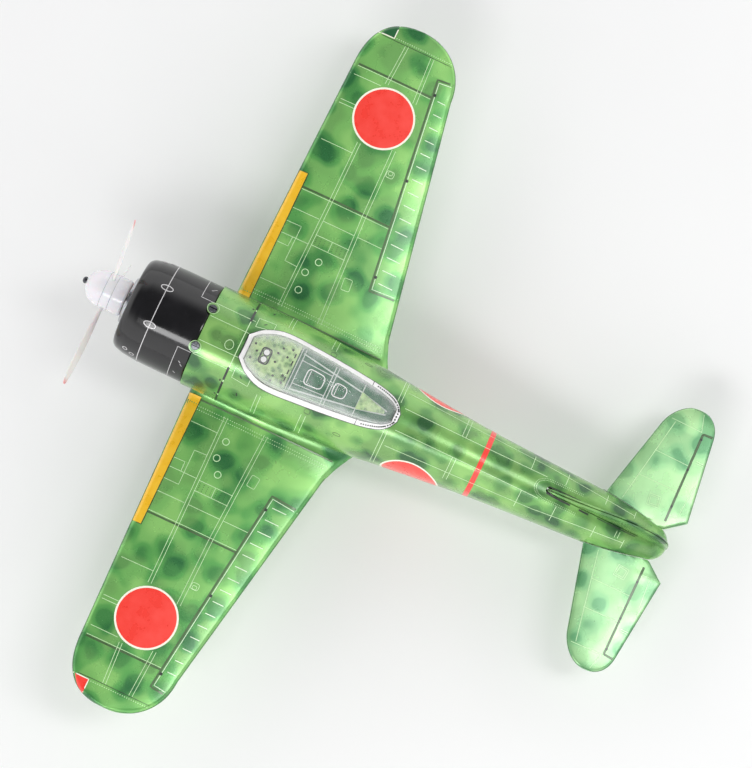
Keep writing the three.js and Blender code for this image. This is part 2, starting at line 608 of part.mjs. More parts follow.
const fittings = {
  wing_top: [wingSkin(1), GREEN],
  wing_underside: [wingSkin(-1), GREEN],
  tailplane: [tailplane(), GREEN],
  undercarriage_leg: [undercarriageLeg(), STEEL],
  leg_door: [legDoor(), GREEN],
};
const wheelPieces = {
  tyre: [tyre(), RUBBER],
  wheel_hub: [wheelHub(), STEEL],
  wheel_axle: [wheelAxle(), STEEL],
};
[['port', 1], ['starboard', -1]].forEach(([sideName, side]) => {
  const onSide = (geometry) => (side > 0 ? geometry.clone() : mirrored(geometry));
  Object.entries(fittings).forEach(([name, [geometry, look]]) => {
    add(`${name}_${sideName}`, onSide(geometry), look);
  });
  add(`fin_${sideName}`, finHalf(side), GREEN);
  add(`lug_screw_${sideName}`, lugScrew(side), STEEL);
  add(`battery_cell_${sideName}`, batteryCell(side), CELL_JACKET);
  const hub = placed(side * WHEEL_X, WHEEL_Y, WHEEL_Z);
  Object.entries(wheelPieces).forEach(([name, [geometry, look]]) => {
    add(`${name}_${sideName}`, onSide(geometry), look, hub);
  });
});

const tailHub = placed(0, TAIL_WHEEL_Y, TAIL_WHEEL_Z);
add('tail_wheel', tailWheel(), RUBBER, tailHub);
add('tail_wheel_axle', tailAxle(), STEEL, tailHub);
add('tail_wheel_fork', tailFork(), STEEL);

add('battery_box', batteryBox(), PLASTIC);
add('belly_hatch', bellyHatch(), GREEN);
add('hatch_screw', hatchScrew(), STEEL);
add('switch_slider', switchSlider(), PLASTIC);

// The plane sits back until its main wheels and its tail wheel touch the same floor.
const reach = Math.hypot(TAIL_WHEEL_Y - WHEEL_Y, TAIL_WHEEL_Z - WHEEL_Z);
const slope = Math.atan2(TAIL_WHEEL_Z - WHEEL_Z, TAIL_WHEEL_Y - WHEEL_Y);
plane.rotation.x = -(slope - Math.asin((TAIL_WHEEL_RADIUS - WHEEL_RADIUS) / reach));

const standing = new THREE.Group();
standing.add(plane);
standing.updateMatrixWorld(true);
const extent = new THREE.Box3().setFromObject(standing, true);
const middle = extent.getCenter(new THREE.Vector3());
plane.position.set(-middle.x, -middle.y, -extent.min.z);

export default standing;
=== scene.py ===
"""Looks of the tinplate toy warbird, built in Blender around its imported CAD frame.

Shapes are written in plane millimetres: +X to port, +Y from the spinner's tip to the tail, +Z up,
with the propeller's axis at Z = 0. PLANE turns those into the frame's metres. Printed lines, roundels and
panels are thin closed sheets that follow the pressed tin.
"""
import json
import math

import bmesh
import bpy
from mathutils import Matrix, Vector


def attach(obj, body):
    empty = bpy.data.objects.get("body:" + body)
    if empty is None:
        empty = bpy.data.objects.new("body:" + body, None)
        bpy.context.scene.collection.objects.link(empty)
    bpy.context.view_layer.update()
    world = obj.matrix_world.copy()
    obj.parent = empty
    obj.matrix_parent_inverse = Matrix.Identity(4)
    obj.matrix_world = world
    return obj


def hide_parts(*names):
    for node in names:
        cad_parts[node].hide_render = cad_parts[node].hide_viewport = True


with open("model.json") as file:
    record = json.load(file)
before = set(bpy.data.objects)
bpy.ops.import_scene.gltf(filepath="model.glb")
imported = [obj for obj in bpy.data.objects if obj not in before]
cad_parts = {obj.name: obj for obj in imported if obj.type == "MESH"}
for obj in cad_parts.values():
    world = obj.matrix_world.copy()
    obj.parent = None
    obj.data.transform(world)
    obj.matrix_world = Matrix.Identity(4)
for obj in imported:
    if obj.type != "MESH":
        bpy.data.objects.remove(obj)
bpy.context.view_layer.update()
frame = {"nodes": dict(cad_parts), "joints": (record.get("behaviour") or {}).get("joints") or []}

# ---- driving dimensions, the same as the CAD part's -------------------------------------------------
GAP = 0.35
TIN = 0.8
PROP_Y = 14
PROP_RADIUS = 53
PROP_REST = math.radians(-35)
HUB_RADIUS = 9.6
COWL_FRONT = 26
COWL_RADIUS = 26.2
NOSE_Y = 66
TAIL_ROUND_Y = 313
TAIL_Y = 321.4
SEAM_Z = -12
SECTION_POWER = 2 / 2.15
HALF_SPAN = 189.7
WING_ROOT_X = 27
WING_Z = -15
DIHEDRAL = math.radians(5)
WING_LE_Y = 71.3       # leading edge at the root
WING_LE_SWEEP = 0.0275
WING_TE_Y = 154.2      # trailing edge at the root, before its fillet
WING_TE_SWEEP = 0.186
TIP_MIDDLE_Y = 102
CANOPY_FRONT = 88
CANOPY_REAR = 172.5
BORDER = 2.4
TAILPLANE_Z = 7
TAILPLANE_TIP = 71.8
LUG_ANGLE = math.radians(21.5)
LUG_Y = 66.2
LUG_RADIUS = 3.2
SCREW_HEAD_RADIUS = 2.25
WHEEL_X = 52
WHEEL_Y = 90
WHEEL_Z = -44
WHEEL_RADIUS = 14
LEG_X = 60
TAIL_WHEEL_Y = 290
TAIL_WHEEL_Z = -24
TAIL_WHEEL_RADIUS = 6
HATCH_Y = (98, 158)
HATCH_HALF_WIDTH = 10
SWITCH_Y = 176
ROUNDEL_X = 140.5
ROUNDEL_Y = 101.3
ROUNDEL_RADIUS = 16.1
SIDES = (("port", 1), ("starboard", -1))
PRINT = 0.06          # how far printed sheets stand above the tin
FINE = 0.27           # width of the thin printed lines


def plane_matrix():
    """Plane millimetres to the frame's metres, found from the propeller's joint."""
    spin = next(joint for joint in frame["joints"] if joint["name"] == "propeller_spin")
    back = Vector(spin["axis"]).normalized()
    turn = Matrix(((1, 0, 0), (0, back.y, -back.z), (0, back.z, back.y)))
    hub = Vector(spin["pos_m"])
    origin = hub - turn @ Vector((0, PROP_Y / 1000, 0))
    return Matrix.Translation(origin) @ turn.to_4x4() @ Matrix.Scale(0.001, 4)


PLANE = plane_matrix()


# ---- curves -----------------------------------------------------------------------------------------
def curve_through(*stations):
    """A smooth curve through given stations, read at any place between them."""
    last = len(stations) - 1

    def slope(i):
        (x0, v0), (x1, v1) = stations[max(i - 1, 0)], stations[min(i + 1, last)]
        return (v1 - v0) / (x1 - x0)

    def value(at):
        x = min(max(at, stations[0][0]), stations[last][0])
        i = 0
        while i < last - 1 and stations[i + 1][0] < x:
            i += 1
        (x0, v0), (x1, v1) = stations[i], stations[i + 1]
        span = x1 - x0
        t = (x - x0) / span
        rise = (2 * t**3 - 3 * t**2 + 1) * v0 + (3 * t**2 - 2 * t**3) * v1
        return rise + (t**3 - 2 * t**2 + t) * span * slope(i) + (t**3 - t**2) * span * slope(i + 1)

    return value


def steps(start, end, count):
    return [start + (end - start) * i / count for i in range(count + 1)]


def eased(start, end, count):
    """Steps that crowd towards both ends."""
    return [start + (end - start) * (1 - math.cos(math.pi * i / count)) / 2 for i in range(count + 1)]


def power(value, exponent):
    return math.copysign(abs(value) ** exponent, value)


def rounded(points, radius, parts=3, closed=True):
    """The same outline with its corners turned into short curves."""
    out = []
    count = len(points)
    for i, corner in enumerate(points):
        if not closed and i in (0, count - 1):
            out.append(tuple(corner))
            continue
        here, before, after = Vector(corner), Vector(points[i - 1]), Vector(points[(i + 1) % count])
        start = here + (before - here).normalized() * min(radius, 0.45 * (before - here).length)
        end = here + (after - here).normalized() * min(radius, 0.45 * (after - here).length)
        for t in steps(0, 1, parts):
            out.append(tuple(start * (1 - t) ** 2 + here * 2 * t * (1 - t) + end * t**2))
    return out


# ---- mesh building ----------------------------------------------------------------------------------
class Solid:
    """Closed bodies gathered into one mesh."""

    def __init__(self):
        self.points = []
        self.faces = []

    def sheet(self, top, under, wrap=False):
        """A closed sheet between two grids of points. With wrap the columns run all the way round."""
        rows, columns = len(top), len(top[0])
        base = len(self.points)
        for grid in (top, under):
            self.points += [point for row in grid for point in row]

        def upper(i, j):
            return base + i * columns + j % columns

        def lower(i, j):
            return upper(i, j) + rows * columns

        across = columns if wrap else columns - 1
        for j in range(across):
            for i in range(rows - 1):
                self.faces.append((upper(i, j), upper(i + 1, j), upper(i + 1, j + 1), upper(i, j + 1)))
                self.faces.append((lower(i, j), lower(i, j + 1), lower(i + 1, j + 1), lower(i + 1, j)))
            self.faces.append((upper(0, j), upper(0, j + 1), lower(0, j + 1), lower(0, j)))
            self.faces.append((upper(rows - 1, j + 1), upper(rows - 1, j), lower(rows - 1, j),
                               lower(rows - 1, j + 1)))
        if not wrap:
            end = columns - 1
            for i in range(rows - 1):
                self.faces.append((upper(i, 0), lower(i, 0), lower(i + 1, 0), upper(i + 1, 0)))
                self.faces.append((upper(i, end), upper(i + 1, end), lower(i + 1, end), lower(i, end)))
        return self

    def tube(self, rings, ends="caps"):
        """A skin through rings of points. ends is caps, or join where the last ring meets the first."""
        count = len(rings[0])
        base = len(self.points)
        self.points += [point for ring in rings for point in ring]
        pairs = len(rings) if ends == "join" else len(rings) - 1
        for r in range(pairs):
            here, there = base + r * count, base + ((r + 1) % len(rings)) * count
            for k in range(count):
                following = (k + 1) % count
                self.faces.append((here + k, here + following, there + following, there + k))
        if ends == "caps":
            self.faces.append(tuple(range(base, base + count)))
            self.faces.append(tuple(base + (len(rings) - 1) * count + k for k in reversed(range(count))))
        return self

    def turned(self, profile, place, segments=64):
        """A turned piece: a closed loop of (radius, along) pairs. place takes radius, angle and along."""
        rings = [[place(radius, 2 * math.pi * k / segments, along) for k in range(segments)]
                 for radius, along in profile]
        return self.tube(rings, "join")

    def prism(self, outline, low, high, place):
        """A flat outline pushed from low to high. place takes the outline's two numbers and the height."""
        return self.tube([[place(u, v, height) for u, v in outline] for height in (low, high)])


def about_y(x=0, z=0):
    return lambda radius, angle, along: (x + radius * math.cos(angle), along, z + radius * math.sin(angle))


def about_x(x, y, z, side=1):
    return lambda radius, angle, along: (x + side * along, y + radius * math.cos(angle),
                                         z + radius * math.sin(angle))


def flat(u, v, height):
    return (u, v, height)


def bare_object(name, solid):
    mesh = bpy.data.meshes.new(name)
    mesh.from_pydata([PLANE @ Vector(point) for point in solid.points], [], solid.faces)
    work = bmesh.new()
    work.from_mesh(mesh)
    bmesh.ops.remove_doubles(work, verts=work.verts, dist=2e-6)
    bmesh.ops.dissolve_degenerate(work, edges=work.edges, dist=1e-7)
    bmesh.ops.recalc_face_normals(work, faces=work.faces)
    work.to_mesh(mesh)
    work.free()
    made = bpy.data.objects.new(name, mesh)
    bpy.context.scene.collection.objects.link(made)
    return made


def carve(made, cutters):
    """Cuts the cutters' solid out of a piece and keeps the result as its mesh."""
    tool = bare_object("cutter", cutters)
    modifier = made.modifiers.new("carve", "BOOLEAN")
    modifier.object = tool
    modifier.solver = "EXACT"
    modifier.operation = "DIFFERENCE"
    carved = bpy.data.meshes.new_from_object(made.evaluated_get(bpy.context.evaluated_depsgraph_get()))
    made.modifiers.clear()
    made.data = carved
    bpy.data.objects.remove(tool)


def piece(name, solid, material, body="airframe", stands_for=(), cutters=None, crease=35):
    made = bare_object(name, solid)
    if cutters:
        carve(made, cutters)
    made.data.materials.clear()
    made.data.materials.append(material)
    for face in made.data.polygons:
        face.use_smooth = True
    made.data.set_sharp_from_angle(angle=math.radians(crease))
    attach(made, body)
    if stands_for:
        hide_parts(*stands_for)
    return made


# ---- printed sheets on a surface --------------------------------------------------------------------
# A surface is a function of two lengths along it and a lift above it, and gives a point.
def surface_normal(surface, u, v):
    here = Vector(surface(u, v, 0))
    along_u = Vector(surface(u + 0.2, v, 0)) - here
    along_v = Vector(surface(u, v + 0.2, 0)) - here
    normal = along_u.cross(along_v).normalized()
    outward = Vector(surface(u, v, 1)) - here
    return normal if normal.dot(outward) > 0 else -normal


def resampled(surface, path, stride):
    out = [path[0]]
    for start, end in zip(path, path[1:]):
        reach = (Vector(surface(*end, 0)) - Vector(surface(*start, 0))).length
        count = max(1, math.ceil(reach / stride))
        out += [(start[0] + (end[0] - start[0]) * k / count, start[1] + (end[1] - start[1]) * k / count)
                for k in range(1, count + 1)]
    return out


def line(solid, surface, path, width=FINE, lift=PRINT, loop=False, stride=2.5):
    """A printed line: a closed strip along a path on the surface."""
    marks = resampled(surface, path, stride)
    if loop:
        marks = marks[:-1]
    centres = [Vector(surface(u, v, 0)) for u, v in marks]
    normals = [surface_normal(surface, u, v) for u, v in marks]
    top, under = [[], []], [[], []]
    last = len(centres) - 1
    for i, (centre, normal) in enumerate(zip(centres, normals)):
        after = centres[(i + 1) % len(centres)] if loop else centres[min(i + 1, last)]
        before = centres[i - 1] if loop else centres[max(i - 1, 0)]
        sideways = normal.cross((after - before).normalized()).normalized() * (width / 2)
        for row, edge in enumerate((centre - sideways, centre + sideways)):
            top[row].append(tuple(edge + normal * lift))
            under[row].append(tuple(edge - normal * 0.12))
    solid.sheet(top, under, wrap=loop)


def panel(solid, surface, edge_a, edge_b, lift=PRINT, rows=6):
    """A printed area between two paths with the same number of points."""
    def blended(t):
        return [(a[0] + (b[0] - a[0]) * t, a[1] + (b[1] - a[1]) * t) for a, b in zip(edge_a, edge_b)]

    def fill(path):
        out = [path[0]]
        for start, end in zip(path, path[1:]):
            out += [(start[0] + (end[0] - start[0]) * k / 4, start[1] + (end[1] - start[1]) * k / 4)
                    for k in range(1, 5)]
        return out

    grid = [fill(blended(t)) for t in steps(0, 1, rows)]
    solid.sheet([[surface(u, v, lift) for u, v in row] for row in grid],
                [[surface(u, v, -0.12) for u, v in row] for row in grid])


def mirrored(side, *points):
    """Points given for the port side, placed on either side."""
    return [(side * x, y) for x, y in points]


def circle(centre, radius, count=48, stretch=1.0):
    return [(centre[0] + radius * math.cos(2 * math.pi * k / count),
             centre[1] + radius * stretch * math.sin(2 * math.pi * k / count)) for k in range(count + 1)]


def disc(solid, surface, centre, radius, lift=PRINT, under=-0.12, rings=9, inner=0.0):
    """A printed disc, or a ring where inner is a share of the radius."""
    loops = [circle(centre, radius * share)[:-1] for share in steps(inner, 1, rings)]
    solid.sheet([[surface(u, v, lift) for u, v in loop] for loop in loops],
                [[surface(u, v, under) for u, v in loop] for loop in loops], wrap=True)


def ring(solid, surface, centre, radius, width=FINE, lift=PRINT, stretch=1.0):
    line(solid, surface, circle(centre, radius, 24, stretch), width, lift, loop=True, stride=9)


def dots(solid, surface, path, spacing, size=0.5, lift=PRINT):
    """A row of small printed dots along a path."""
    marks = resampled(surface, path, spacing)
    for u, v in marks:
        half = size / 2
        corners = [(u - half, v), (u, v - half)], [(u, v + half), (u + half, v)]
        solid.sheet([[surface(a, b, lift) for a, b in row] for row in corners],
                    [[surface(a, b, -0.12) for a, b in row] for row in corners])


# ---- materials --------------------------------------------------------------------------------------
class Look:
    """A Principled material and the few nodes that vary it."""

    def __init__(self, name, **sockets):
        self.material = bpy.data.materials.new(name)
        self.material.use_nodes = True
        self.nodes = self.material.node_tree.nodes
        self.links = self.material.node_tree.links
        self.shader = self.nodes["Principled BSDF"]
        for socket, value in sockets.items():
            self.shader.inputs[socket.replace("_", " ")].default_value = value
        self.coordinates = self.nodes.new("ShaderNodeTexCoord").outputs["Object"]

    def node(self, kind, **inputs):
        made = self.nodes.new("ShaderNode" + kind)
        for name, value in inputs.items():
            socket = made.inputs[name.replace("_", " ")]
            if hasattr(value, "is_output"):
                self.links.new(value, socket)
            else:
                socket.default_value = value
        return made

    def noise(self, scale, detail=2.0, roughness=0.5, offset=(0, 0, 0), distortion=0.0):
        place = self.node("Mapping", Vector=self.coordinates, Location=offset)
        made = self.node("TexNoise", Vector=place.outputs["Vector"], Scale=scale, Detail=detail,
                         Roughness=roughness, Distortion=distortion)
        return made.outputs["Fac"]

    def spots(self, scale, offset=(0, 0, 0)):
        """How far each point is from the nearest of many scattered, slightly bent spots, in spot spacings."""
        place = self.node("Mapping", Vector=self.coordinates, Location=offset).outputs["Vector"]
        wobble = self.node("TexNoise", Vector=place, Scale=scale, Detail=1.0).outputs["Color"]
        bent = self.node("VectorMath")
        bent.operation = "MULTIPLY_ADD"
        self.links.new(wobble, bent.inputs[0])
        bent.inputs[1].default_value = [0.5 / scale] * 3
        self.links.new(place, bent.inputs[2])
        cells = self.nodes.new("ShaderNodeTexVoronoi")
        cells.feature = "SMOOTH_F1"
        cells.inputs["Scale"].default_value = scale
        cells.inputs["Smoothness"].default_value = 0.5
        self.links.new(bent.outputs["Vector"], cells.inputs["Vector"])
        return cells.outputs["Distance"]

    def ramp(self, factor, *stops):
        """Colours along a factor: stops are (position, colour)."""
        made = self.nodes.new("ShaderNodeValToRGB")
        self.links.new(factor, made.inputs["Fac"])
        made.color_ramp.interpolation = "EASE"
        while len(made.color_ramp.elements) < len(stops):
            made.color_ramp.elements.new(0.5)
        for element, (position, colour) in zip(made.color_ramp.elements, stops):
            element.position = position
            element.color = (*colour, 1)
        return made.outputs["Color"]

    def spread(self, factor, low, high, start=0.3, end=0.7):
        made = self.nodes.new("ShaderNodeMapRange")
        for name, value in (("From Min", start), ("From Max", end), ("To Min", low), ("To Max", high)):
            made.inputs[name].default_value = value
        self.links.new(factor, made.inputs["Value"])
        return made.outputs["Result"]

    def mix(self, factor, first, second, kind="MIX"):
        made = self.nodes.new("ShaderNodeMix")
        made.data_type = "RGBA"
        made.blend_type = kind
        sockets = (made.inputs["Factor"], made.inputs[6], made.inputs[7])
        for socket, value in zip(sockets, (factor, first, second)):
            if hasattr(value, "is_output"):
                self.links.new(value, socket)
            else:
                socket.default_value = value if isinstance(value, float) else (*value, 1)
        return made.outputs[2]

    def set(self, socket, value):
        self.links.new(value, self.shader.inputs[socket])
        return self

    def bump(self, height, strength, distance=0.0002):
        made = self.node("Bump", Height=height, Strength=strength, Distance=distance)
        return self.set("Normal", made.outputs["Normal"])


def srgb(red, green, blue):
    """A colour given in the usual 0 to 255 numbers, as the linear values that shaders use."""
    def linear(value):
        share = value / 255
        return share / 12.92 if share <= 0.04045 else ((share + 0.055) / 1.055) ** 2.4
    return tuple(linear(value) for value in (red, green, blue))


LIGHT_GREEN = srgb(150, 214, 116)
MID_GREEN = srgb(90, 172, 84)
DARK_GREEN = srgb(26, 112, 54)


def camouflage_tin(name, spots=70, offset=(0, 0, 0), light=LIGHT_GREEN, middle=MID_GREEN, dark=DARK_GREEN,
                   metal=0.3, gloss=0.25):
    """Lithographed tin: soft dark spots over light green under clear lacquer, with faint handling marks."""
    look = Look(name, Metallic=metal, Roughness=gloss, Coat_Weight=0.45, Coat_Roughness=0.15)
    spotted = look.ramp(look.spots(spots, offset), (0.29, dark), (0.43, middle), (0.60, light))
    clouded = look.ramp(look.noise(spots * 0.55, detail=1.0, offset=offset), (0.40, dark), (0.50, middle),
                        (0.62, light))
    tone = look.mix(0.42, spotted, clouded)
    grain = look.noise(2600, detail=2)
    tone = look.mix(look.spread(grain, 0.0, 0.05), tone, srgb(225, 240, 205))
    look.set("Base Color", tone)
    smears = look.noise(60, detail=4, roughness=0.6, offset=(3, 1, 2))
    look.set("Roughness", look.spread(smears, gloss - 0.05, gloss + 0.08))
    return look.bump(look.noise(70, detail=1), 0.05, 0.0006).material


def ink(name, colour, metal=0.1, gloss=0.3, worn=0.06):
    """A printed ink under the same lacquer, a little uneven in tone."""
    look = Look(name, Metallic=metal, Roughness=gloss, Coat_Weight=0.5, Coat_Roughness=0.08)
    uneven = look.noise(160, detail=4, roughness=0.6)
    paler = tuple(min(1, value * 1.1 + worn * 0.3) for value in colour)
    look.set("Base Color", look.ramp(uneven, (0.3, colour), (0.75, paler)))
    return look.set("Roughness", look.spread(uneven, gloss - 0.04, gloss + 0.08)).material


def black_tin():
    look = Look("printed_black", Metallic=0.0, Roughness=0.14, Coat_Weight=0.25, Coat_Roughness=0.05)
    marks = look.noise(70, detail=5, roughness=0.65)
    look.set("Base Color", look.ramp(marks, (0.35, srgb(14, 14, 16)), (0.75, srgb(24, 23, 26))))
    return look.set("Roughness", look.spread(marks, 0.08, 0.2)).material


def metal_look(name, colour, gloss=0.28, grain=900):
    """Bright metal with fine drawn marks."""
    look = Look(name, Metallic=1.0, Roughness=gloss)
    marks = look.noise(grain, detail=3, roughness=0.7)
    darker = tuple(value * 0.72 for value in colour)
    look.set("Base Color", look.ramp(marks, (0.3, darker), (0.7, colour)))
    look.set("Roughness", look.spread(marks, gloss - 0.08, gloss + 0.14))
    return look.bump(marks, 0.08, 0.00005).material


def moulded(name, colour, gloss=0.35, deep=0.0, coat=0.2):
    """Injection-moulded plastic with a faint orange-peel skin."""
    look = Look(name, Roughness=gloss, Coat_Weight=coat, Coat_Roughness=0.12, Subsurface_Weight=deep,
                Subsurface_Scale=0.002)
    clouds = look.noise(55, detail=3)
    paler = tuple(min(1, value * 1.08 + 0.01) for value in colour)
    look.set("Base Color", look.ramp(clouds, (0.3, colour), (0.7, paler)))
    look.set("Roughness", look.spread(look.noise(380, detail=2), gloss - 0.05, gloss + 0.08))
    return look.bump(look.noise(1500, detail=2), 0.06, 0.00005).material


def clear_look():
    """Vacuum-formed clear sheet: faint face on, whiter where it turns away."""
    look = Look("clear_sheet", Roughness=0.06, Coat_Weight=0.3, Coat_Roughness=0.03, IOR=1.49)
    facing = look.node("LayerWeight", Blend=0.45).outputs["Facing"]
    haze = look.noise(120, detail=4, roughness=0.6)
    look.set("Base Color", look.ramp(haze, (0.3, srgb(228, 232, 230)), (0.7, srgb(250, 250, 252))))
    solid = look.spread(facing, 0.06, 0.56, 0.17, 0.95)
    extra = look.spread(haze, -0.03, 0.07)
    total = look.nodes.new("ShaderNodeMath")
    look.links.new(solid, total.inputs[0])
    look.links.new(extra, total.inputs[1])
    return look.set("Alpha", total.outputs[0]).material


def blade_look():
    """Milky blade plastic whose tips fade to pink-red."""
    look = Look("blade_plastic", Roughness=0.3, Coat_Weight=0.3, Coat_Roughness=0.1, Subsurface_Weight=0.3,
                Subsurface_Scale=0.002)
    hub = tuple(PLANE @ Vector((0, PROP_Y, 0)))
    apart = look.node("VectorMath")
    apart.operation = "DISTANCE"
    look.links.new(look.coordinates, apart.inputs[0])
    apart.inputs[1].default_value = hub
    tip = look.spread(apart.outputs["Value"], 0.0, 0.7, 0.0495, 0.0525)
    milky = look.ramp(look.noise(60, detail=3), (0.3, srgb(232, 230, 228)), (0.7, srgb(244, 242, 241)))
    look.set("Base Color", look.mix(tip, milky, srgb(226, 84, 96)))
    return look.material


def rubber_look():
    look = Look("rubber", Roughness=0.72, Specular_IOR_Level=0.35)
    dust = look.noise(240, detail=5, roughness=0.7)
    look.set("Base Color", look.ramp(dust, (0.35, srgb(24, 24, 25)), (0.8, srgb(62, 61, 59))))
    look.set("Roughness", look.spread(dust, 0.6, 0.85))
    return look.bump(look.noise(2200, detail=3), 0.25, 0.0001).material


LOOKS = {
    "wing_green": camouflage_tin("printed_wing_green"),
    "green": camouflage_tin("printed_green", 90, (0.3, 0.1, 0), srgb(146, 200, 108), srgb(98, 162, 80),
                            srgb(32, 92, 44)),
    "tail_green": camouflage_tin("printed_tail_green", 84, (0.4, 0.2, 0), srgb(180, 228, 162),
                                 srgb(150, 210, 146), srgb(88, 158, 104)),
    "black": black_tin(),
    "pearl": moulded("pearl", srgb(232, 229, 234), 0.22, 0.25, 0.6),
    "blade": blade_look(),
    "clear": clear_look(),
    "rubber": rubber_look(),
    "steel": metal_look("bright_steel", srgb(196, 198, 202)),
    "screw": metal_look("blackened_steel", srgb(92, 94, 98), 0.22),
    "brass": metal_look("brass", srgb(206, 168, 92), 0.32),
    "dark_plastic": moulded("dark_plastic", srgb(44, 46, 47), 0.45),
    "cell": ink("cell_jacket", srgb(178, 72, 48), 0.1, 0.35),
    "white_ink": ink("white_ink", srgb(204, 236, 186), 0.0),
    "border_ink": ink("border_ink", srgb(242, 240, 240), 0.0, 0.2),
    "rib_ink": ink("rib_ink", srgb(206, 214, 208), 0.0),
    "cowl_ink": ink("cowl_ink", srgb(206, 204, 206), 0.0, 0.2),
    "black_ink": ink("black_ink", srgb(26, 34, 28), 0.0),
    "shadow_ink": ink("shadow_ink", srgb(76, 104, 64), 0.2),
    # Painted shade: the dark green line drawn just inside the rolled edges of the wings and tailplanes.
    "rim_shade_ink": ink("rim_shade_ink", srgb(36, 88, 48), 0.2),
    "tick_ink": ink("tick_ink", srgb(226, 244, 216), 0.0),
    "red_ink": ink("red_ink", srgb(250, 62, 50), 0.05, 0.28),
    "ivory_ink": ink("ivory_ink", srgb(250, 246, 228), 0.0),
    "yellow_ink": ink("yellow_ink", srgb(250, 192, 36), 0.1, 0.28),
    "nav_green_ink": ink("nav_green_ink", srgb(30, 96, 52), 0.1),
    "deck_ink": camouflage_tin("deck_ink", 420, (0.1, 0.3, 0), srgb(196, 222, 158), srgb(168, 204, 140),
                               srgb(108, 142, 98), 0.0, 0.4),
    "floor_ink": ink("floor_ink", srgb(52, 110, 78), 0.1, 0.4),
}


# ---- fuselage form ----------------------------------------------------------------------------------
half_width = curve_through((66, 26.9), (110, 26.8), (150, 24.4), (172, 21.9), (219, 17.5), (260, 15.2),
                           (283, 13.9), (300, 11.6), (313, 8.8))
top_line = curve_through((66, 26.9), (88, 27.2), (172, 26.2), (219, 24), (260, 22), (283, 20.4), (313, 17.6))
bottom_line = curve_through((66, -26.9), (110, -28.6), (150, -28.4), (172, -26.4), (219, -19.4),
                            (260, -12.4), (283, -8.4), (313, -1.6))


def section(y):
    """Half width, half height and middle height of the fuselage at y."""
    past = max(0, (y - TAIL_ROUND_Y) / (TAIL_Y + 0.1 - TAIL_ROUND_Y))
    shrink = math.sqrt(max(0, 1 - past * past))
    half_height = (top_line(y) - bottom_line(y)) / 2
    return half_width(y) * shrink, half_height * shrink, (top_line(y) + bottom_line(y)) / 2


def fuselage_point(angle, y, lift=0.0):
    across, up, middle = section(y)
    across, up = max(across + lift, 0.05), max(up + lift, 0.05)
    return (across * power(math.cos(angle), SECTION_POWER), y,
            middle + up * power(math.sin(angle), SECTION_POWER))


def fuselage(girth, y, lift=0.0):
    """The fuselage skin by the length round it from the spine, positive to port, and y."""
    across, up, _ = section(y)
    return fuselage_point(math.pi / 2 - girth / max((across + up) / 2, 0.5), y, lift)


def girth_at(x, y):
    """The length round from the spine of the skin's point at that x."""
    across, up, _ = section(y)
    share = min(abs(x) / across, 0.999) ** (1 / SECTION_POWER)
    return math.copysign((math.pi / 2 - math.acos(share)) * (across + up) / 2, x)


def seam_angle(y, level):
    """How far below the horizontal the skin reaches the given level."""
    _, up, middle = section(y)
    return math.asin(min(1, (max(middle - level, 0) / up) ** (1 / SECTION_POWER)))


def cockpit_outline(inset, count=40):
    stations = eased(CANOPY_FRONT + inset, CANOPY_REAR - inset, count)
    port = [(max(canopy_half_width(y) - inset, 0.8), y) for y in stations]
    return port + [(-x, y) for x, y in reversed(port)]


canopy_half_width = curve_through((88, 6.2), (94, 11.5), (104, 15.1), (122, 14.6), (154, 11.6), (165, 9.2),
                                  (170, 6), (172.5, 2))
canopy_ridge = curve_through((88, 1.4), (96, 9.5), (106, 15.2), (120, 16.6), (140, 14.2), (156, 9.2),
                             (168, 3.6), (172.5, 1.2))


def upper_shell():
    solid = Solid()
    tail_end = [TAIL_ROUND_Y + (TAIL_Y - TAIL_ROUND_Y) * math.sin(t) for t in steps(0, math.pi / 2, 14)]
    stations = steps(NOSE_Y, 311, 82) + tail_end
    top, under = [], []
    for y in stations:
        low = seam_angle(y, SEAM_Z + GAP / 2)
        angles = steps(-low, math.pi + low, 72)
        top.append([fuselage_point(angle, y) for angle in angles])
        under.append([fuselage_point(angle, y, -TIN) for angle in angles])
    solid.sheet(top, under)
    cutters = Solid().prism(cockpit_outline(BORDER), 14, 50, flat)
    cutters.prism(rounded([(1.6, 253.9), (1.6, 306), (-1.6, 306), (-1.6, 253.9)], 1.5, 4), 12, 40, flat)
    piece("upper_shell", solid, LOOKS["green"], stands_for=["fuselage_upper_shell"],
          cutters=cutters)


def belly():
    solid = Solid()
    top, under = [], []
    for y in steps(NOSE_Y, 261, 60):
        low = seam_angle(y, SEAM_Z - GAP / 2)
        angles = steps(math.pi + low, 2 * math.pi - low, 40)
        top.append([fuselage_point(angle, y) for angle in angles])
        under.append([fuselage_point(angle, y, -TIN) for angle in angles])
    solid.sheet(top, under)
    wide = HATCH_HALF_WIDTH + GAP
    cutters = Solid().prism([(wide, HATCH_Y[0] - GAP), (wide, HATCH_Y[1] + GAP), (-wide, HATCH_Y[1] + GAP),
                             (-wide, HATCH_Y[0] - GAP)], -40, SEAM_Z - 3, flat)
    cutters.prism([(1.8, SWITCH_Y - 4.4), (1.8, SWITCH_Y + 4.4), (-1.8, SWITCH_Y + 4.4),
                   (-1.8, SWITCH_Y - 4.4)], -40, -18, flat)
    piece("belly_skin", solid, LOOKS["green"], stands_for=["belly_shell"],
          cutters=cutters)


def lug_place(side):
    """Points of a lug: x and y across it, and the height above the propeller's axis."""
    turn = Matrix.Rotation(side * LUG_ANGLE, 3, "Y")
    return lambda x, y, height: tuple(turn @ Vector((x, y, height)) + Vector((0, LUG_Y, 0)))


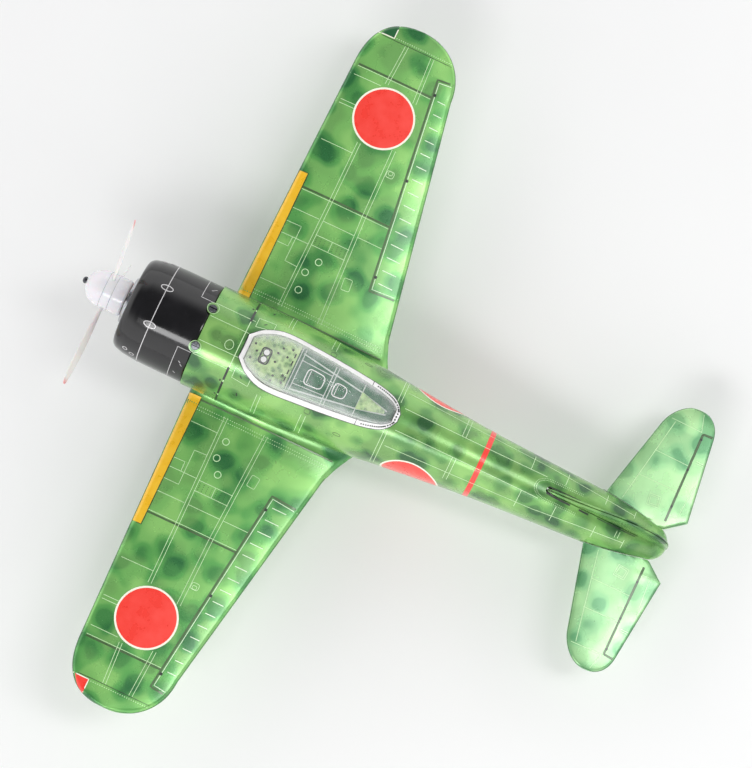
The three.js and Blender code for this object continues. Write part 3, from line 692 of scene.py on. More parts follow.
def lugs():
    """The green ears that reach forward over the cowl, and their slotted screws."""
    ears, outlines = Solid(), Solid()
    for _, side in SIDES:
        centre = (side * LUG_ANGLE * NOSE_RADIUS, LUG_Y)
        disc(ears, fuselage, centre, LUG_RADIUS, 0.4, -0.3)
        ring(outlines, fuselage, centre, LUG_RADIUS - 0.2, 0.22, 0.46)
    piece("shell_lugs", ears, LOOKS["green"])
    piece("lug_outlines", outlines, LOOKS["white_ink"])
    for name, side in SIDES:
        place = lug_place(side)
        profile = [(0, 24), (1.1, 24), (1.1, 27.5), (SCREW_HEAD_RADIUS, 27.5), (SCREW_HEAD_RADIUS, 28.3),
                   (SCREW_HEAD_RADIUS - 0.25, 28.6), (0, 28.7)]
        head = Solid().turned(profile, lambda radius, angle, along: place(
            radius * math.cos(angle), radius * math.sin(angle), along), 40)
        slot = Solid().prism([(-0.33, -4), (0.33, -4), (0.33, 4), (-0.33, 4)], 27.95, 30, place)
        piece(f"screw_{name}", head, LOOKS["screw"], stands_for=[f"lug_screw_{name}"],
              cutters=slot)


NOSE_RADIUS = section(NOSE_Y)[0]


def dome_point(angle, y, inset=0.0):
    """The clear dome's skin by the angle round it from the port side, and y."""
    half = max(canopy_half_width(y) - BORDER - inset, 0.5)
    height = max(canopy_ridge(y) - inset, 0.15)
    base = fuselage(girth_at(half, y), y, 0.1)[2]
    return (half * power(math.cos(angle), 0.72), y, base + height * power(math.sin(angle), 0.72))


def dome_line(solid, angle, start, end, width):
    """A printed line along the dome at one angle."""
    line(solid, lambda turn, y, lift: dome_point(turn, y, -lift), [(angle, y) for y in steps(start, end, 16)],
         width, 0.08)


def canopy():
    """The clear dome with its flat white-bordered rim."""
    def rim(inset, lift):
        return [fuselage(girth_at(x, y), y, lift) for x, y in cockpit_outline(inset)]

    def dome(inset):
        stations = eased(CANOPY_FRONT + BORDER + 0.3, CANOPY_REAR - BORDER - 0.2, 44)
        return [[dome_point(angle, y, inset) for angle in steps(0, math.pi, 32)] for y in stations]

    piece("canopy_dome", Solid().sheet(dome(0), dome(0.5)), LOOKS["clear"],
          stands_for=["canopy"])
    shoulders = Solid()
    for angle in (0.35, math.pi - 0.35):
        dome_line(shoulders, angle, 94, 164, 0.3)
    piece("canopy_shoulders", shoulders, LOOKS["rib_ink"])
    border = Solid()
    border.sheet([rim(0, 0.45), rim(0.5, 0.75), rim(BORDER, 0.75)],
                 [rim(0, 0.02), rim(0.5, 0.02), rim(BORDER, 0.02)], wrap=True)
    piece("canopy_border", border, LOOKS["border_ink"])
    edge, outline = Solid(), cockpit_outline(-0.15)
    line(edge, fuselage, [(girth_at(x, y), y) for x, y in outline + outline[:1]], 0.5, 0.3, loop=True)
    rear = [(x, y) for x, y in cockpit_outline(1.2) if y > 154.6]
    dots(edge, fuselage, [(girth_at(x, y), y) for x, y in rear], 1.6, 1.0, 0.85)
    for side in (1, -1):
        half = canopy_half_width(154)
        joint = [(girth_at(side * (half - inset), 154), 154) for inset in (BORDER, 0)]
        line(edge, fuselage, joint, 0.3, 0.85)
    piece("canopy_outline", edge, LOOKS["black_ink"])


def cockpit_width(y):
    """Half the width of the printed tray inside the canopy's border."""
    return max(canopy_half_width(y) - BORDER - 0.5, 0.5)


def tray_sheet(solid, start, end, drop, count=24):
    """A part of the tray from y = start to y = end, drop below the fuselage's top line."""
    rows = steps(start, end, count)
    top = [[(cockpit_width(y) * t, y, top_line(y) - drop) for t in steps(-1, 1, 12)] for y in rows]
    solid.sheet(top, [[(x, y, z - 2) for x, y, z in row] for row in top])


def sunk(depth):
    """A level surface inside the cockpit, depth below the fuselage's top line."""
    return lambda x, y, lift: (x, y, top_line(y) - depth + lift)


def cockpit():
    """The printed tray: a speckled deck with dials, a dark floor with two seats, and a pointed fairing."""
    tray, decks, low, high = Solid(), Solid(), sunk(3.5), sunk(1.6)
    front, rear = CANOPY_FRONT + BORDER + 0.5, CANOPY_REAR - BORDER - 0.5
    tray_sheet(tray, front, rear, 3.6, 40)
    piece("cockpit_floor", tray, LOOKS["floor_ink"], stands_for=["cockpit_tray"])
    tray_sheet(decks, front, 114.5, 1.6)
    panel(decks, low, [(-4.6, 151), (-2.6, 158), (-0.7, 165)], [(4.6, 151), (2.6, 158), (0.7, 165)], 0.9)
    piece("cockpit_deck", decks, LOOKS["deck_ink"])
    dark, pale = Solid(), Solid()
    surround = rounded([(-4, 97.2), (4, 97.2), (4, 102), (-4, 102)], 1.6, 4)
    line(dark, high, surround + surround[:1], 0.8, loop=True)
    for x in (-1.9, 1.9):
        disc(pale, high, (x, 99.6), 1.55, 0.1)
        ring(dark, high, (x, 99.6), 1.7, 0.4, 0.12)
    for x, y in ((-3.8, 92.8), (3.8, 93.2), (-0.6, 94.7), (-4.1, 104.9), (0.6, 105.2), (7.3, 107.1),
                 (-7.3, 106.4), (10, 107), (-4.1, 109.9), (-8.6, 111), (5.2, 111.6), (8.8, 112.2)):
        disc(dark, high, (x, y), 0.6, 0.1, rings=2)
    for x in (-6.4, -2.4, 2.4, 6.4):
        line(dark, high, [(x - 1.2, 113.2), (x + 1.2, 113.2)], 0.7)
    for y0, y1, half in ((122, 131.5, 4.2), (137, 143.8, 3.6)):
        seat = rounded([(-half, y0), (half, y0), (half * 0.85, y1), (-half * 0.85, y1)], 2.4, 4)
        line(pale, low, seat + seat[:1], 0.5, 0.2, loop=True)
        line(pale, low, [(-half * 0.8, y0 + 1.6), (half * 0.8, y0 + 1.6)], 0.3, 0.2)
        for x, y in ((-half * 0.5, y0 + 3), (half * 0.5, y0 + 3), (-half * 0.4, y1 - 1.6),
                     (half * 0.4, y1 - 1.6)):
            disc(dark, low, (x, y), 0.35, 0.2, rings=2)
    piece("cockpit_marks", dark, LOOKS["black_ink"])
    piece("cockpit_lines", pale, LOOKS["border_ink"])
    ribs = Solid()
    for side in (1, -1):
        rail = mirrored(side, (9.6, 116.5), (6.8, 135), (4.4, 151), (0.9, 166))
        line(ribs, low, rail, 0.7, 0.3)
        line(ribs, low, [(side * 6.2, 117), (side * 5.4, 134)], 0.4, 0.3)
    for y in (115.4, 117.2, 134.2, 135.8, 151):
        line(ribs, low, [(-cockpit_width(y) + 0.2, y), (cockpit_width(y) - 0.2, y)], 0.5, 0.5)
    piece("cockpit_ribs", ribs, LOOKS["rib_ink"])


# ---- nose -------------------------------------------------------------------------------------------
cowl_radius = curve_through((27, 23.4), (28.8, 24.4), (33.5, 25.5), (40, 26.1), (46, 26.2), (70, 26.2))


def cowl_surface(girth, y, lift=0.0):
    angle = math.pi / 2 - girth / COWL_RADIUS
    radius = cowl_radius(y) + lift
    return (radius * math.cos(angle), y, radius * math.sin(angle))


def cowl():
    outer = [(7.6, COWL_FRONT + 1.4), (19, COWL_FRONT + 0.05), (22.4, COWL_FRONT + 0.5),
             (24.2, COWL_FRONT + 2.6), (25.4, COWL_FRONT + 7.4), (26.0, COWL_FRONT + 14),
             (COWL_RADIUS, COWL_FRONT + 20), (COWL_RADIUS, NOSE_Y - 0.4), (25.3, NOSE_Y + 0.2),
             (25.3, NOSE_Y + 4)]
    inner = [(24.3, NOSE_Y + 4), (25.2, COWL_FRONT + 20), (24.9, COWL_FRONT + 14.2),
             (24.2, COWL_FRONT + 7.8), (23.1, COWL_FRONT + 3.6), (21.4, COWL_FRONT + 1.9),
             (18.6, COWL_FRONT + 1.5), (7.6, COWL_FRONT + 2.6)]
    solid = Solid().turned(rounded(outer + inner, 1.2, 5), about_y(), 128)
    piece("cowl", solid, LOOKS["black"], stands_for=["engine_cowl"], crease=50)
    marks = Solid()
    line(marks, cowl_surface, [(girth, 41.2) for girth in steps(-44, 50, 30)], 0.4)
    for girth in (-10.5, 10.5):
        ring(marks, cowl_surface, (girth, 41.2), 1.5, 0.4, stretch=2.1)
    for side in (1, -1):
        hatch = mirrored(side, (14.5, 65.4), (14.5, 58.3), (42, 58.3), (42, 65.4))
        line(marks, cowl_surface, hatch, 0.3)
        for girth, y in ((22, 61.4), (23.6, 62.6), (31, 60.6)):
            line(marks, cowl_surface, [(side * girth, y), (side * (girth + 1), y + 1.2)], 0.3)
        for girth, y in ((32, 34), (34, 38), (41, 50), (42, 54)):
            ring(marks, cowl_surface, (side * girth, y), 1.2, 0.35)
    piece("cowl_lines", marks, LOOKS["cowl_ink"])


def nose():
    ring_profile = rounded([(8.2, 24.2), (11.6, 24.2), (12.4, 25), (12.4, 26.6), (8.2, 26.6)], 0.5)
    notch = Solid().prism([(-2.6, 23), (2.6, 23), (2.6, 25.4), (-2.6, 25.4)], 8.5, 14, flat)
    piece("front_ring", Solid().turned(ring_profile, about_y(), 72), LOOKS["steel"],
          stands_for=["nose_ring"], cutters=notch)
    front = [(0.9, 1.5)] + [(HUB_RADIUS * math.sin(a) ** 0.9, 11.75 - 10.25 * math.cos(a) ** 1.05)
                            for a in steps(0.17, math.pi / 2, 18)] + [(0.9, 11.75)]
    piece("spinner_front", Solid().turned(front, about_y(), 72), LOOKS["pearl"], "propeller",
          ["spinner_nose"])
    collar = rounded([(1.85, PROP_Y + 2.55), (HUB_RADIUS, PROP_Y + 2.55), (HUB_RADIUS, 22.8), (8.8, 23.6),
                      (1.85, 23.6)], 0.2)
    piece("spinner_rear", Solid().turned(collar, about_y(), 72), LOOKS["pearl"], "propeller",
          ["spinner_collar"])
    pin = [(0, -0.6), (0.7, -0.5), (1.4, -0.1), (1.8, 0.6), (1.8, 1.35), (0.85, 1.4), (0.85, 9), (0, 9)]
    piece("spinner_rivet", Solid().turned(pin, about_y(), 36), LOOKS["screw"], "propeller",
          ["spinner_pin"])


def blade_ring(radius, spin):
    """One cross-section of a blade that starts upright and is turned about the shaft by spin."""
    half = blade_chord(min(radius, 50)) / 2 * math.sqrt(max(0.03, 1 - max(0, (radius - 50) / 3) ** 2))
    thick = (0.3 + 0.55 * (1 - radius / PROP_RADIUS)) * (1.4 if radius < 12 else 1)
    turn = blade_twist(radius)
    loop = []
    for angle in steps(0, 2 * math.pi, 20)[:-1]:
        along, across = half * math.cos(angle), thick * math.sin(angle)
        x = along * math.cos(turn) - across * math.sin(turn)
        y = PROP_Y + along * math.sin(turn) * 0.55 + across * math.cos(turn)
        loop.append(tuple(spin @ Vector((x, y, radius))))
    return loop


blade_chord = curve_through((7, 3.2), (14, 4.2), (28, 8.4), (42, 8.8), (50, 6.4), (53, 2))
blade_twist = curve_through((7, 1.05), (25, 0.72), (PROP_RADIUS, 0.42))


def propeller():
    front, rear = 11.85, PROP_Y + 2.45
    hub = rounded([(1.85, front), (HUB_RADIUS, front), (HUB_RADIUS, rear), (1.85, rear)], 0.15)
    piece("propeller_hub", Solid().turned(hub, about_y(), 72), LOOKS["pearl"], "propeller",
          ["propeller"])
    blades = Solid()
    for number in range(3):
        spin = Matrix.Rotation(PROP_REST + 2 * math.pi * number / 3, 3, "Y")
        blades.tube([blade_ring(radius, spin) for radius in steps(9, 50, 21) + [51, 52, 52.6, 52.9]])
    piece("propeller_blades", blades, LOOKS["blade"], "propeller", ["propeller"])


# ---- wing -------------------------------------------------------------------------------------------
def leading_edge(x):
    start = 160
    straight = WING_LE_Y + (x - WING_ROOT_X) * WING_LE_SWEEP
    if x <= start:
        return straight
    t = (x - start) / (HALF_SPAN + 0.1 - start)
    return TIP_MIDDLE_Y - (TIP_MIDDLE_Y - straight) * max(0, 1 - t**2.6) ** (1 / 2.6)


def trailing_edge(x):
    start = 163
    straight = WING_TE_Y - (min(x, start) - WING_ROOT_X) * WING_TE_SWEEP
    if x <= start:
        return straight + 6 * max(0, min(1, 1 - (x - WING_ROOT_X) / 14)) ** 2
    t = (x - start) / (HALF_SPAN + 0.1 - start)
    edge = straight - (x - start) * 0.05
    return TIP_MIDDLE_Y + (edge - TIP_MIDDLE_Y) * math.sqrt(max(0, 1 - t**2.2))


def tip_x(y):
    """Where the wing's outline crosses y, near its tip."""
    inside, outside = 160, HALF_SPAN
    for _ in range(24):
        x = (inside + outside) / 2
        if leading_edge(x) < y < trailing_edge(x):
            inside = x
        else:
            outside = x
    return inside


def edge_distance(front, rear, x, y):
    """How far in from a panel's outline a point is, near enough."""
    def slanted(edge, gap):
        slope = (edge(x + 0.05) - edge(x - 0.05)) / 0.1
        return abs(gap) / math.sqrt(1 + slope * slope)
    return min(slanted(front, y - front(x)), slanted(rear, y - rear(x)))


def rolled(distance, radius):
    """The height of a rolled edge, from 0 at the outline to 1 inside."""
    inside = min(distance / radius, 1)
    return math.sqrt(max(0, 1 - (1 - inside) ** 2))


def wing_height(x, y):
    """Height of either skin's outside above the wing's middle surface."""
    front, rear = leading_edge(x), trailing_edge(x)
    part = min(max((y - front) / max(rear - front, 0.1), 0), 1)
    depth = 5.2 - 2.6 * (x - WING_ROOT_X) / (HALF_SPAN - WING_ROOT_X)
    crown = 1.3 + (depth - 1.3) * math.sqrt(max(0, math.sin(math.pi * part**0.7)))
    rim = rolled(edge_distance(leading_edge, trailing_edge, x, y), 2.2)
    flare = max(0, 1 - (x - WING_ROOT_X) / 4.5) ** 2
    return 0.25 + (crown - 0.25) * rim + 1.6 * flare * rim


def wing_surface(side, face=1):
    """The wing's top or underside skin for one side, by distance from the centreline and y."""
    def surface(x, y, lift=0.0):
        middle = WING_Z + math.tan(DIHEDRAL) * (x - WING_ROOT_X)
        return (side * x, y, middle + face * (wing_height(x, y) + lift))
    return surface


def wing_spans():
    return steps(WING_ROOT_X, 42, 14) + steps(44, 158, 57) + steps(160, 180, 14)[1:] + \
        [180 + (HALF_SPAN - 180) * math.sin(t) for t in steps(0, math.pi / 2, 16)[1:]]


def wing_skin(side_name, side, face):
    surface = wing_surface(side, face)
    top, under = [], []
    parts = [(1 - math.cos(math.pi * t)) / 2 for t in steps(0, 1, 46)]
    for x in wing_spans():
        front, rear = leading_edge(x), trailing_edge(x)
        outer, inner = [], []
        for part in parts:
            y = front + (rear - front) * part
            root = abs(fuselage_point(-seam_angle(y, WING_Z + 3), y, GAP)[0])
            shifted = x + (root - WING_ROOT_X) * max(0, 1 - (x - WING_ROOT_X) / 9)
            point = surface(x, y)
            outer.append((side * shifted, y, point[2]))
            thickness = min(TIN, wing_height(x, y) - 0.1)
            inner.append((side * shifted, y, point[2] - face * thickness))
        top.append(outer)
        under.append(inner)
    word = "top" if face > 0 else "underside"
    piece(f"wing_{word}_skin_{side_name}", Solid().sheet(top, under), LOOKS["wing_green"],
          stands_for=[f"wing_{word}_{side_name}"], crease=50)


def hinge_y(x):
    """The aileron's hinge line."""
    return 131.9 + (x - 58.4) * (117.9 - 131.9) / (169.8 - 58.4)


RIBS = ([(90.6, 78.6), (90.6, 127.6)], [(159.9, 75.6), (159.9, 118.6)], [(155.1, 75.6), (155.2, 92.6)],
        [(118, 74.6), (117.8, 94.2)], [(140.8, 75.2), (140.8, 85.2)], [(138.8, 75.2), (138.8, 85.2)],
        [(80, 78.8), (80, 93.4)], [(80, 95.6), (80, 113.2)], [(80, 115), (80, 128.6)],
        [(40.7, 78.8), (40.7, 93.2)],
        [(66.2, 78.8), (66.2, 94)], [(72.2, 95.2), (72.2, 114)], [(66.5, 95.2), (66.5, 114)],
        [(66.5, 104.6), (72.2, 104.6)], [(72.7, 78.8), (72.8, 86.9), (53.6, 86.7), (53.3, 93.4)],
        [(61.1, 78.8), (61, 84.9), (66, 85.1)])
SPARS = (([(31.5, 93.2), (91, 94.1), (124, 94.3)], 1.7), ([(31.5, 115.3), (91, 112.6), (128, 112)], 1.9),
         ([(157, 94.3), (179, 95.6)], 1.6), ([(154, 111.3), (179, 109.9)], 1.8))


def wing_lines(side_name, side):
    """The thin pale lines: folds, ribs, spars, hatches and rivets."""
    top, white = wing_surface(side), Solid()
    for path, apart in SPARS:
        line(white, top, path)
        line(white, top, [(x, y + apart) for x, y in path])
    for path in RIBS:
        line(white, top, path)
    for centre in ((43, 99.2), (52.5, 98.5), (60, 102.6)):
        ring(white, top, centre, 1.7, 0.4)
    box = rounded([(52.4, 118.4), (58.6, 117.8), (59, 122.2), (52.8, 122.8)], 0.8)
    line(white, top, box + box[:1], loop=True)
    for size in (1, 0.55):
        drum = rounded([(117.4 + 1.6 * (u - 1) * size, 116.4 + 2 * v * size)
                        for u, v in ((-1, -1), (1.2, -1), (1.2, 1), (-1, 1))], 1.2 * size)
        line(white, top, drum + drum[:1], loop=True)
    for x, start, end in ((32.2, 79, 150), (34, 79, 149), (180.6, 90, 120.6)):
        dots(white, top, [(x, start), (x, end)], 1.25, 0.6)
    piece(f"wing_lines_{side_name}", white, LOOKS["white_ink"])


def aileron_lines(side_name, side):
    """The aileron's ticks and the bright line that follows its hinge and its two ends."""
    top, bright = wing_surface(side), Solid()
    for x in steps(160.4, 63.4, 14):
        reach = 4.4 + 3.4 * (160.4 - x) / 97
        line(bright, top, [(x, hinge_y(x) + 3.2), (x, hinge_y(x) + 3.2 + reach)], 0.42)
    corners = [(x, hinge_y(x) + 1.1) for x in (59.2, 169.2)]
    line(bright, top, [(60.4, 147)] + corners + [(170, 125.6)], 0.34)
    piece(f"aileron_lines_{side_name}", bright, LOOKS["tick_ink"])


def wing_shadows(side_name, side):
    """Darker printed bands by the folds and aileron, black lines and rivets, painted shade at the root and
    rim.
    """
    top, bands, black = wing_surface(side), Solid(), Solid()
    line(bands, top, [(91.7, 78.6), (91.7, 127.6)], 1.0)
    line(bands, top, [(160.8, 75.6), (160.8, 118.6)], 1.0)
    line(bands, top, [(59.2, 147.6), (58, hinge_y(58)), (170.4, hinge_y(170.4)), (171.4, 126.2)], 1.1)
    # Painted shade: the dark band along the wing root, where the wing meets the fuselage.
    line(bands, top, [(29, 78.8), (28.8, 152)], 0.7)
    piece(f"wing_bands_{side_name}", bands, LOOKS["shadow_ink"])
    for x in (162.6, 116.8, 65.6):
        disc(black, top, (x, hinge_y(x) + 1.0), 0.8, 0.14, rings=2)
    line(black, top, [(28.5, 78.5), (98.9, 78.6), (99, 73.9)], 0.35, 0.09)
    line(black, top, [(179.4, leading_edge(179.4) + 1), (179.2, 90), (179.4, 121.4)], 0.27)
    for y in (96.6, 98.8, 101, 103.2, 106, 108.2, 110.4, 112.6):
        dots(black, top, [(67.8, y), (71, y)], 1.6, 0.45)
    piece(f"wing_marks_{side_name}", black, LOOKS["black_ink"])
    # Painted shade: a dark line just inside the outline, where the rolled edge turns away from the light.
    edge, inset = Solid(), 0.35
    spans = steps(38, 158, 40) + steps(160, 186.6, 26)
    tip = [(tip_x(y) - inset, y) for y in (96, 102, 108)]
    rear = [(x, trailing_edge(x) - inset) for x in reversed(spans)]
    line(edge, top, [(x, leading_edge(x) + inset) for x in spans] + tip + rear, 0.34)
    piece(f"wing_rim_shade_{side_name}", edge, LOOKS["rim_shade_ink"])


def wing_colours(side_name, side):
    """Yellow edge stripe, roundel and the wing tip's lamp patch."""
    top = wing_surface(side)
    stripe, spans = Solid(), steps(27.6, 98.8, 36)
    panel(stripe, top, [(x, leading_edge(x) + 0.02) for x in spans], [(x, 78.3) for x in spans], rows=8)
    piece(f"edge_stripe_{side_name}", stripe, LOOKS["yellow_ink"])
    rim, red = Solid(), Solid()
    disc(rim, top, (ROUNDEL_X, ROUNDEL_Y), ROUNDEL_RADIUS, 0.1, rings=2, inner=0.9)
    disc(red, top, (ROUNDEL_X, ROUNDEL_Y), ROUNDEL_RADIUS - 1, 0.13, rings=14)
    piece(f"wing_roundel_rim_{side_name}", rim, LOOKS["ivory_ink"])
    piece(f"wing_roundel_{side_name}", red, LOOKS["red_ink"])
    lamp, edge, corner_y = Solid(), Solid(), 88.7
    spans = steps(180.2, tip_x(corner_y) - 0.2, 14)
    panel(lamp, top, [(x, leading_edge(x) + 0.15) for x in spans], [(x, corner_y) for x in spans])
    piece(f"tip_lamp_{side_name}", lamp, LOOKS["red_ink" if side > 0 else "nav_green_ink"])
    corner = [(180.1, leading_edge(180.1) + 0.4), (180.2, corner_y), (tip_x(corner_y) - 0.6, corner_y)]
    line(edge, top, corner, 0.55, 0.16)
    piece(f"tip_lamp_edge_{side_name}", edge, LOOKS["ivory_ink"])


# ---- tail -------------------------------------------------------------------------------------------
def tail_front(x):
    start = 57
    straight = 280.5 + (x - 6) * 0.25
    if x <= start:
        return straight
    t = (x - start) / (TAILPLANE_TIP - start)
    return 309 - (309 - straight) * max(0, 1 - t**2.2) ** (1 / 2.2)


def tail_rear(x):
    start = 60
    straight = 326.4 - (x - 16.5) * 0.12
    if x < 16.5:
        return 315 + (x - 7.6) * 11.4 / 8.9
    if x <= start:
        return straight
    t = (x - start) / (TAILPLANE_TIP - start)
    return 309 + (straight - 309) * max(0, 1 - t**2.4) ** (1 / 2.4)


def tail_height(x, y):
    distance = edge_distance(tail_front, tail_rear, x, y)
    return 0.2 + 0.75 * rolled(distance, 1.3) + 0.5 * rolled(distance, 14)


def tail_surface(side):
    return lambda x, y, lift=0.0: (side * x, y, TAILPLANE_Z + tail_height(x, y) + lift)


def tail_root(y):
    """Where the tailplane meets the fuselage's side."""
    _, _, middle = section(y)
    if y > TAIL_Y - 1:
        return 6.0
    angle = math.asin(max(-1, min(1, (TAILPLANE_Z - middle) / max(section(y)[1], 1))))
    return max(fuselage_point(angle, y, GAP)[0], 1)


def tailplane(side_name, side):
    surface, top, under = tail_surface(side), [], []
    tip = [58 + (TAILPLANE_TIP - 0.05 - 58) * math.sin(t) for t in steps(0.06, math.pi / 2, 20)]
    spans = steps(6, 16.5, 10) + steps(18, 58, 28) + tip
    parts = [(1 - math.cos(math.pi * t)) / 2 for t in steps(0, 1, 30)]
    for x in spans:
        outer, inner = [], []
        for part in parts:
            y = tail_front(x) + (max(tail_rear(x), tail_front(x) + 0.2) - tail_front(x)) * part
            shifted = max(x, tail_root(y)) if x < 17 else x
            height = surface(x, y)[2] - TAILPLANE_Z
            outer.append((side * shifted, y, TAILPLANE_Z + height))
            inner.append((side * shifted, y, TAILPLANE_Z - height))
        top.append(outer)
        under.append(inner)
    piece(f"tail_skin_{side_name}", Solid().sheet(top, under), LOOKS["tail_green"],
          stands_for=[f"tailplane_{side_name}"], crease=50)
    tail_lines(side_name, surface)


def tail_lines(side_name, surface):
    """The spar, ribs, hatches and hinge printed on the tailplane, and painted shade along its rolled edge."""
    pale, dark, black, edge = Solid(), Solid(), Solid(), Solid()
    line(pale, surface, [(14.6, 291), (61, 299.6)], 0.34)
    for path in ([(28.9, 293.6), (29, 314.8)], [(43.6, 296), (43.2, 314.9)],
                 [(62, tail_front(62) + 0.5), (61.6, 314)], [(61.6, 313.8), (70.2, 311.4)],
                 [(46, 317.6), (46, 321.6)], [(47, 317.6), (47, 321.2)],
                 [(16.8, 316.4), (16.6, 320.4), (36, 321.8), (35.6, 323.8)]):
        line(pale, surface, path)
    for inset in (0, 0.9):
        hatch = [(16.8 + inset, 303.4 + inset), (22.6 - inset, 302.8 + inset), (23 - inset, 308.6 - inset),
                 (17.4 + inset, 309.2 - inset)]
        line(pale, surface, hatch + hatch[:1], loop=True)
    hinge = [(12.8, 315.4), (61, 314.9), (61.3, 320)]
    line(dark, surface, hinge, 1.0)
    for apart in (-0.5, 0.5):
        side_line = [(12.8, 315.4 + apart), (61 + apart, 314.9 + apart), (61.3 + apart, 320)]
        line(black, surface, side_line, 0.2, 0.09)
    for centre in ((58.1, 315.2), (41.2, 315.2), (21, 315.4)):
        disc(black, surface, centre, 0.62, 0.12, rings=2)
    # Painted shade: a dark line just inside the outline, where the rolled edge turns away from the light.
    spans = steps(17, 57, 20) + steps(58, TAILPLANE_TIP - 0.9, 22)
    rear = [(x, tail_rear(x) - 0.35) for x in reversed(spans)] + [(16.4, 325.4), (9, 316)]
    front = [(x, tail_front(x) + 0.35) for x in spans]
    line(edge, surface, front + [(TAILPLANE_TIP - 0.5, 309)] + rear, 0.32)
    piece(f"tail_lines_{side_name}", pale, LOOKS["white_ink"])
    piece(f"tail_hinge_{side_name}", dark, LOOKS["shadow_ink"])
    piece(f"tail_marks_{side_name}", black, LOOKS["black_ink"])
    piece(f"tail_rim_shade_{side_name}", edge, LOOKS["rim_shade_ink"])


fin_top = curve_through((254.6, 22.6), (261.4, 23.8), (267.8, 25.9), (274, 28.5), (280, 31.5), (285.1, 34.5),
                        (290.1, 37.6), (295.3, 40), (301, 41), (306.7, 40.2), (311.6, 37.8), (315.7, 34),
                        (318.6, 29), (320.2, 24.5), (321.2, 18.5), (321.6, 13))


def fin_base(y):
    if y < 306:
        return top_line(y) - 2.5
    _, up, middle = section(min(y, TAIL_Y - 0.6))
    return min(middle + up + GAP, fin_top(y) - 0.4)


def fin_half(side_name, side):
    outer, inner = [], []
    for y in steps(254.7, 310, 60) + eased(311, 321.55, 18):
        low, high = fin_base(y), max(fin_top(y), fin_base(y) + 0.3)
        column, back = [], []
        for t in eased(0, 1, 22):
            z = low + (high - low) * t
            slope = (fin_top(y + 0.1) - fin_top(y - 0.1)) / 0.2
            distance = min((high - z) / math.sqrt(1 + slope * slope), 321.6 - y, 0.16 * (y - 254.6))
            thick = 0.15 + (1.05 - 0.2 * (z - 18) / 23) * rolled(distance, 1.3)
            column.append((side * (GAP / 2 + thick), y, z))
            back.append((side * GAP / 2, y, z))
        outer.append(column)
        inner.append(back)
    piece(f"fin_skin_{side_name}", Solid().sheet(outer, inner), LOOKS["green"],
          stands_for=[f"fin_{side_name}"], crease=50)


# ---- fuselage prints --------------------------------------------------------------------------------
def along(x0, y0, x1, y1, count=12):
    """A path on the fuselage at given distances from the centreline."""
    path = [(x0 + (x1 - x0) * t, y0 + (y1 - y0) * t) for t in steps(0, 1, count)]
    return [(girth_at(x, y), y) for x, y in path]


def fuselage_lines():
    white, black = Solid(), Solid()
    line(white, fuselage, [(girth, 85.9) for girth in steps(-46, 46, 30)], 0.45)
    for side in (1, -1):
        for girth in (side * 6, side * 13.8):
            line(white, fuselage, [(girth, 66.6), (girth, 88)])
        for start, end in ((12.5, 20.5), (22, 32), (33.5, 44)):
            line(black, fuselage, [(side * start, 85.7), (side * end, 85.7)], 1.1, 0.1)
        for girth in (21.2, 32.8):
            dots(black, fuselage, [(side * girth, 84.2), (side * (girth + 0.5), 84.2)], 1, 0.9, 0.1)
        hatch = mirrored(side, (11, 89), (17, 89), (18, 98), (13, 98), (11, 89))
        line(white, fuselage, hatch)
        line(black, fuselage, [(side * 14.2, 92.6), (side * 15.4, 93.8)], 0.5)
        line(black, fuselage, [(side * 25, 94.4), (side * 27, 94.9)], 0.7)
        tab = rounded(mirrored(side, (15.4, 128.6), (18.4, 128.6), (18.4, 131.6), (15.4, 131.6)), 1.2)
        line(black, fuselage, tab + tab[:1], 0.2, loop=True)
        ring(black, fuselage, (side * 23, 148), 0.9, 0.2, stretch=2.2)
        line(white, fuselage, [(side * 6, 173.5), (side * 6, 252)])
        ahead = along(side * 14.5, 172, side * 11.4, 252)
        line(white, fuselage, ahead + along(side * 11.2, 254, side * 7.4, 300))
        for y in (104, 106, 128, 130.4):
            line(white, fuselage, [(side * 20, y), (side * 36, y)])
        for y in (168.6, 170.4):
            line(white, fuselage, [(side * 8, y), (side * 36, y)])
        for y in (205, 207, 243, 262, 284, 300):
            reach = 24 - (y - 178) * 0.1
            line(white, fuselage, [(side * 6, y), (side * reach, y)])
    for reach in (4.5, 5.5):
        front = [(reach * math.cos(turn), 255.6 - (reach + 2.4) * math.sin(turn))
                 for turn in steps(0, math.pi, 14)]
        dots(white, fuselage, [(reach, 272)] + front + [(-reach, 272)], 1.0, 0.45)
    for y in (294.8, 296.4):
        line(white, fuselage, [(3.2, y), (6.8, y)])
    # Painted shade: the black strips beside the fin's slot stand for the dark inside of the slot.
    line(black, fuselage, [(1.5, 254.7), (1.9, 258), (2.1, 268)], 0.85, 0.1)
    line(black, fuselage, [(2.2, 273), (2.3, 278.2)], 0.85, 0.1)
    line(black, fuselage, [(2, 283), (2, 304)], 0.35, 0.1)
    line(black, fuselage, [(-1.5, 254.7), (-1.8, 258), (-1.8, 272)], 0.4, 0.1)
    ring(white, fuselage, (2.4, 81.2), 2.2)
    line(black, fuselage, [(0, 314), (0, 320.6)], 0.6, 0.1)
    piece("fuselage_lines", white, LOOKS["white_ink"])
    piece("fuselage_marks", black, LOOKS["black_ink"])
    band = Solid()
    edge = steps(-38, 38, 40)
    panel(band, fuselage, [(girth, 217.7) for girth in edge], [(girth, 220.4) for girth in edge], rows=2)
    piece("tail_band", band, LOOKS["red_ink"])


def side_roundels():
    for side_name, side in SIDES:
        rim, red = Solid(), Solid()
        disc(rim, fuselage, (side * 35.5, 189.5), 15.6, 0.1, rings=2, inner=0.9)
        disc(red, fuselage, (side * 35.5, 189.5), 14.6, 0.13, rings=14)
        piece(f"side_roundel_rim_{side_name}", rim, LOOKS["ivory_ink"])
        piece(f"side_roundel_{side_name}", red, LOOKS["red_ink"])


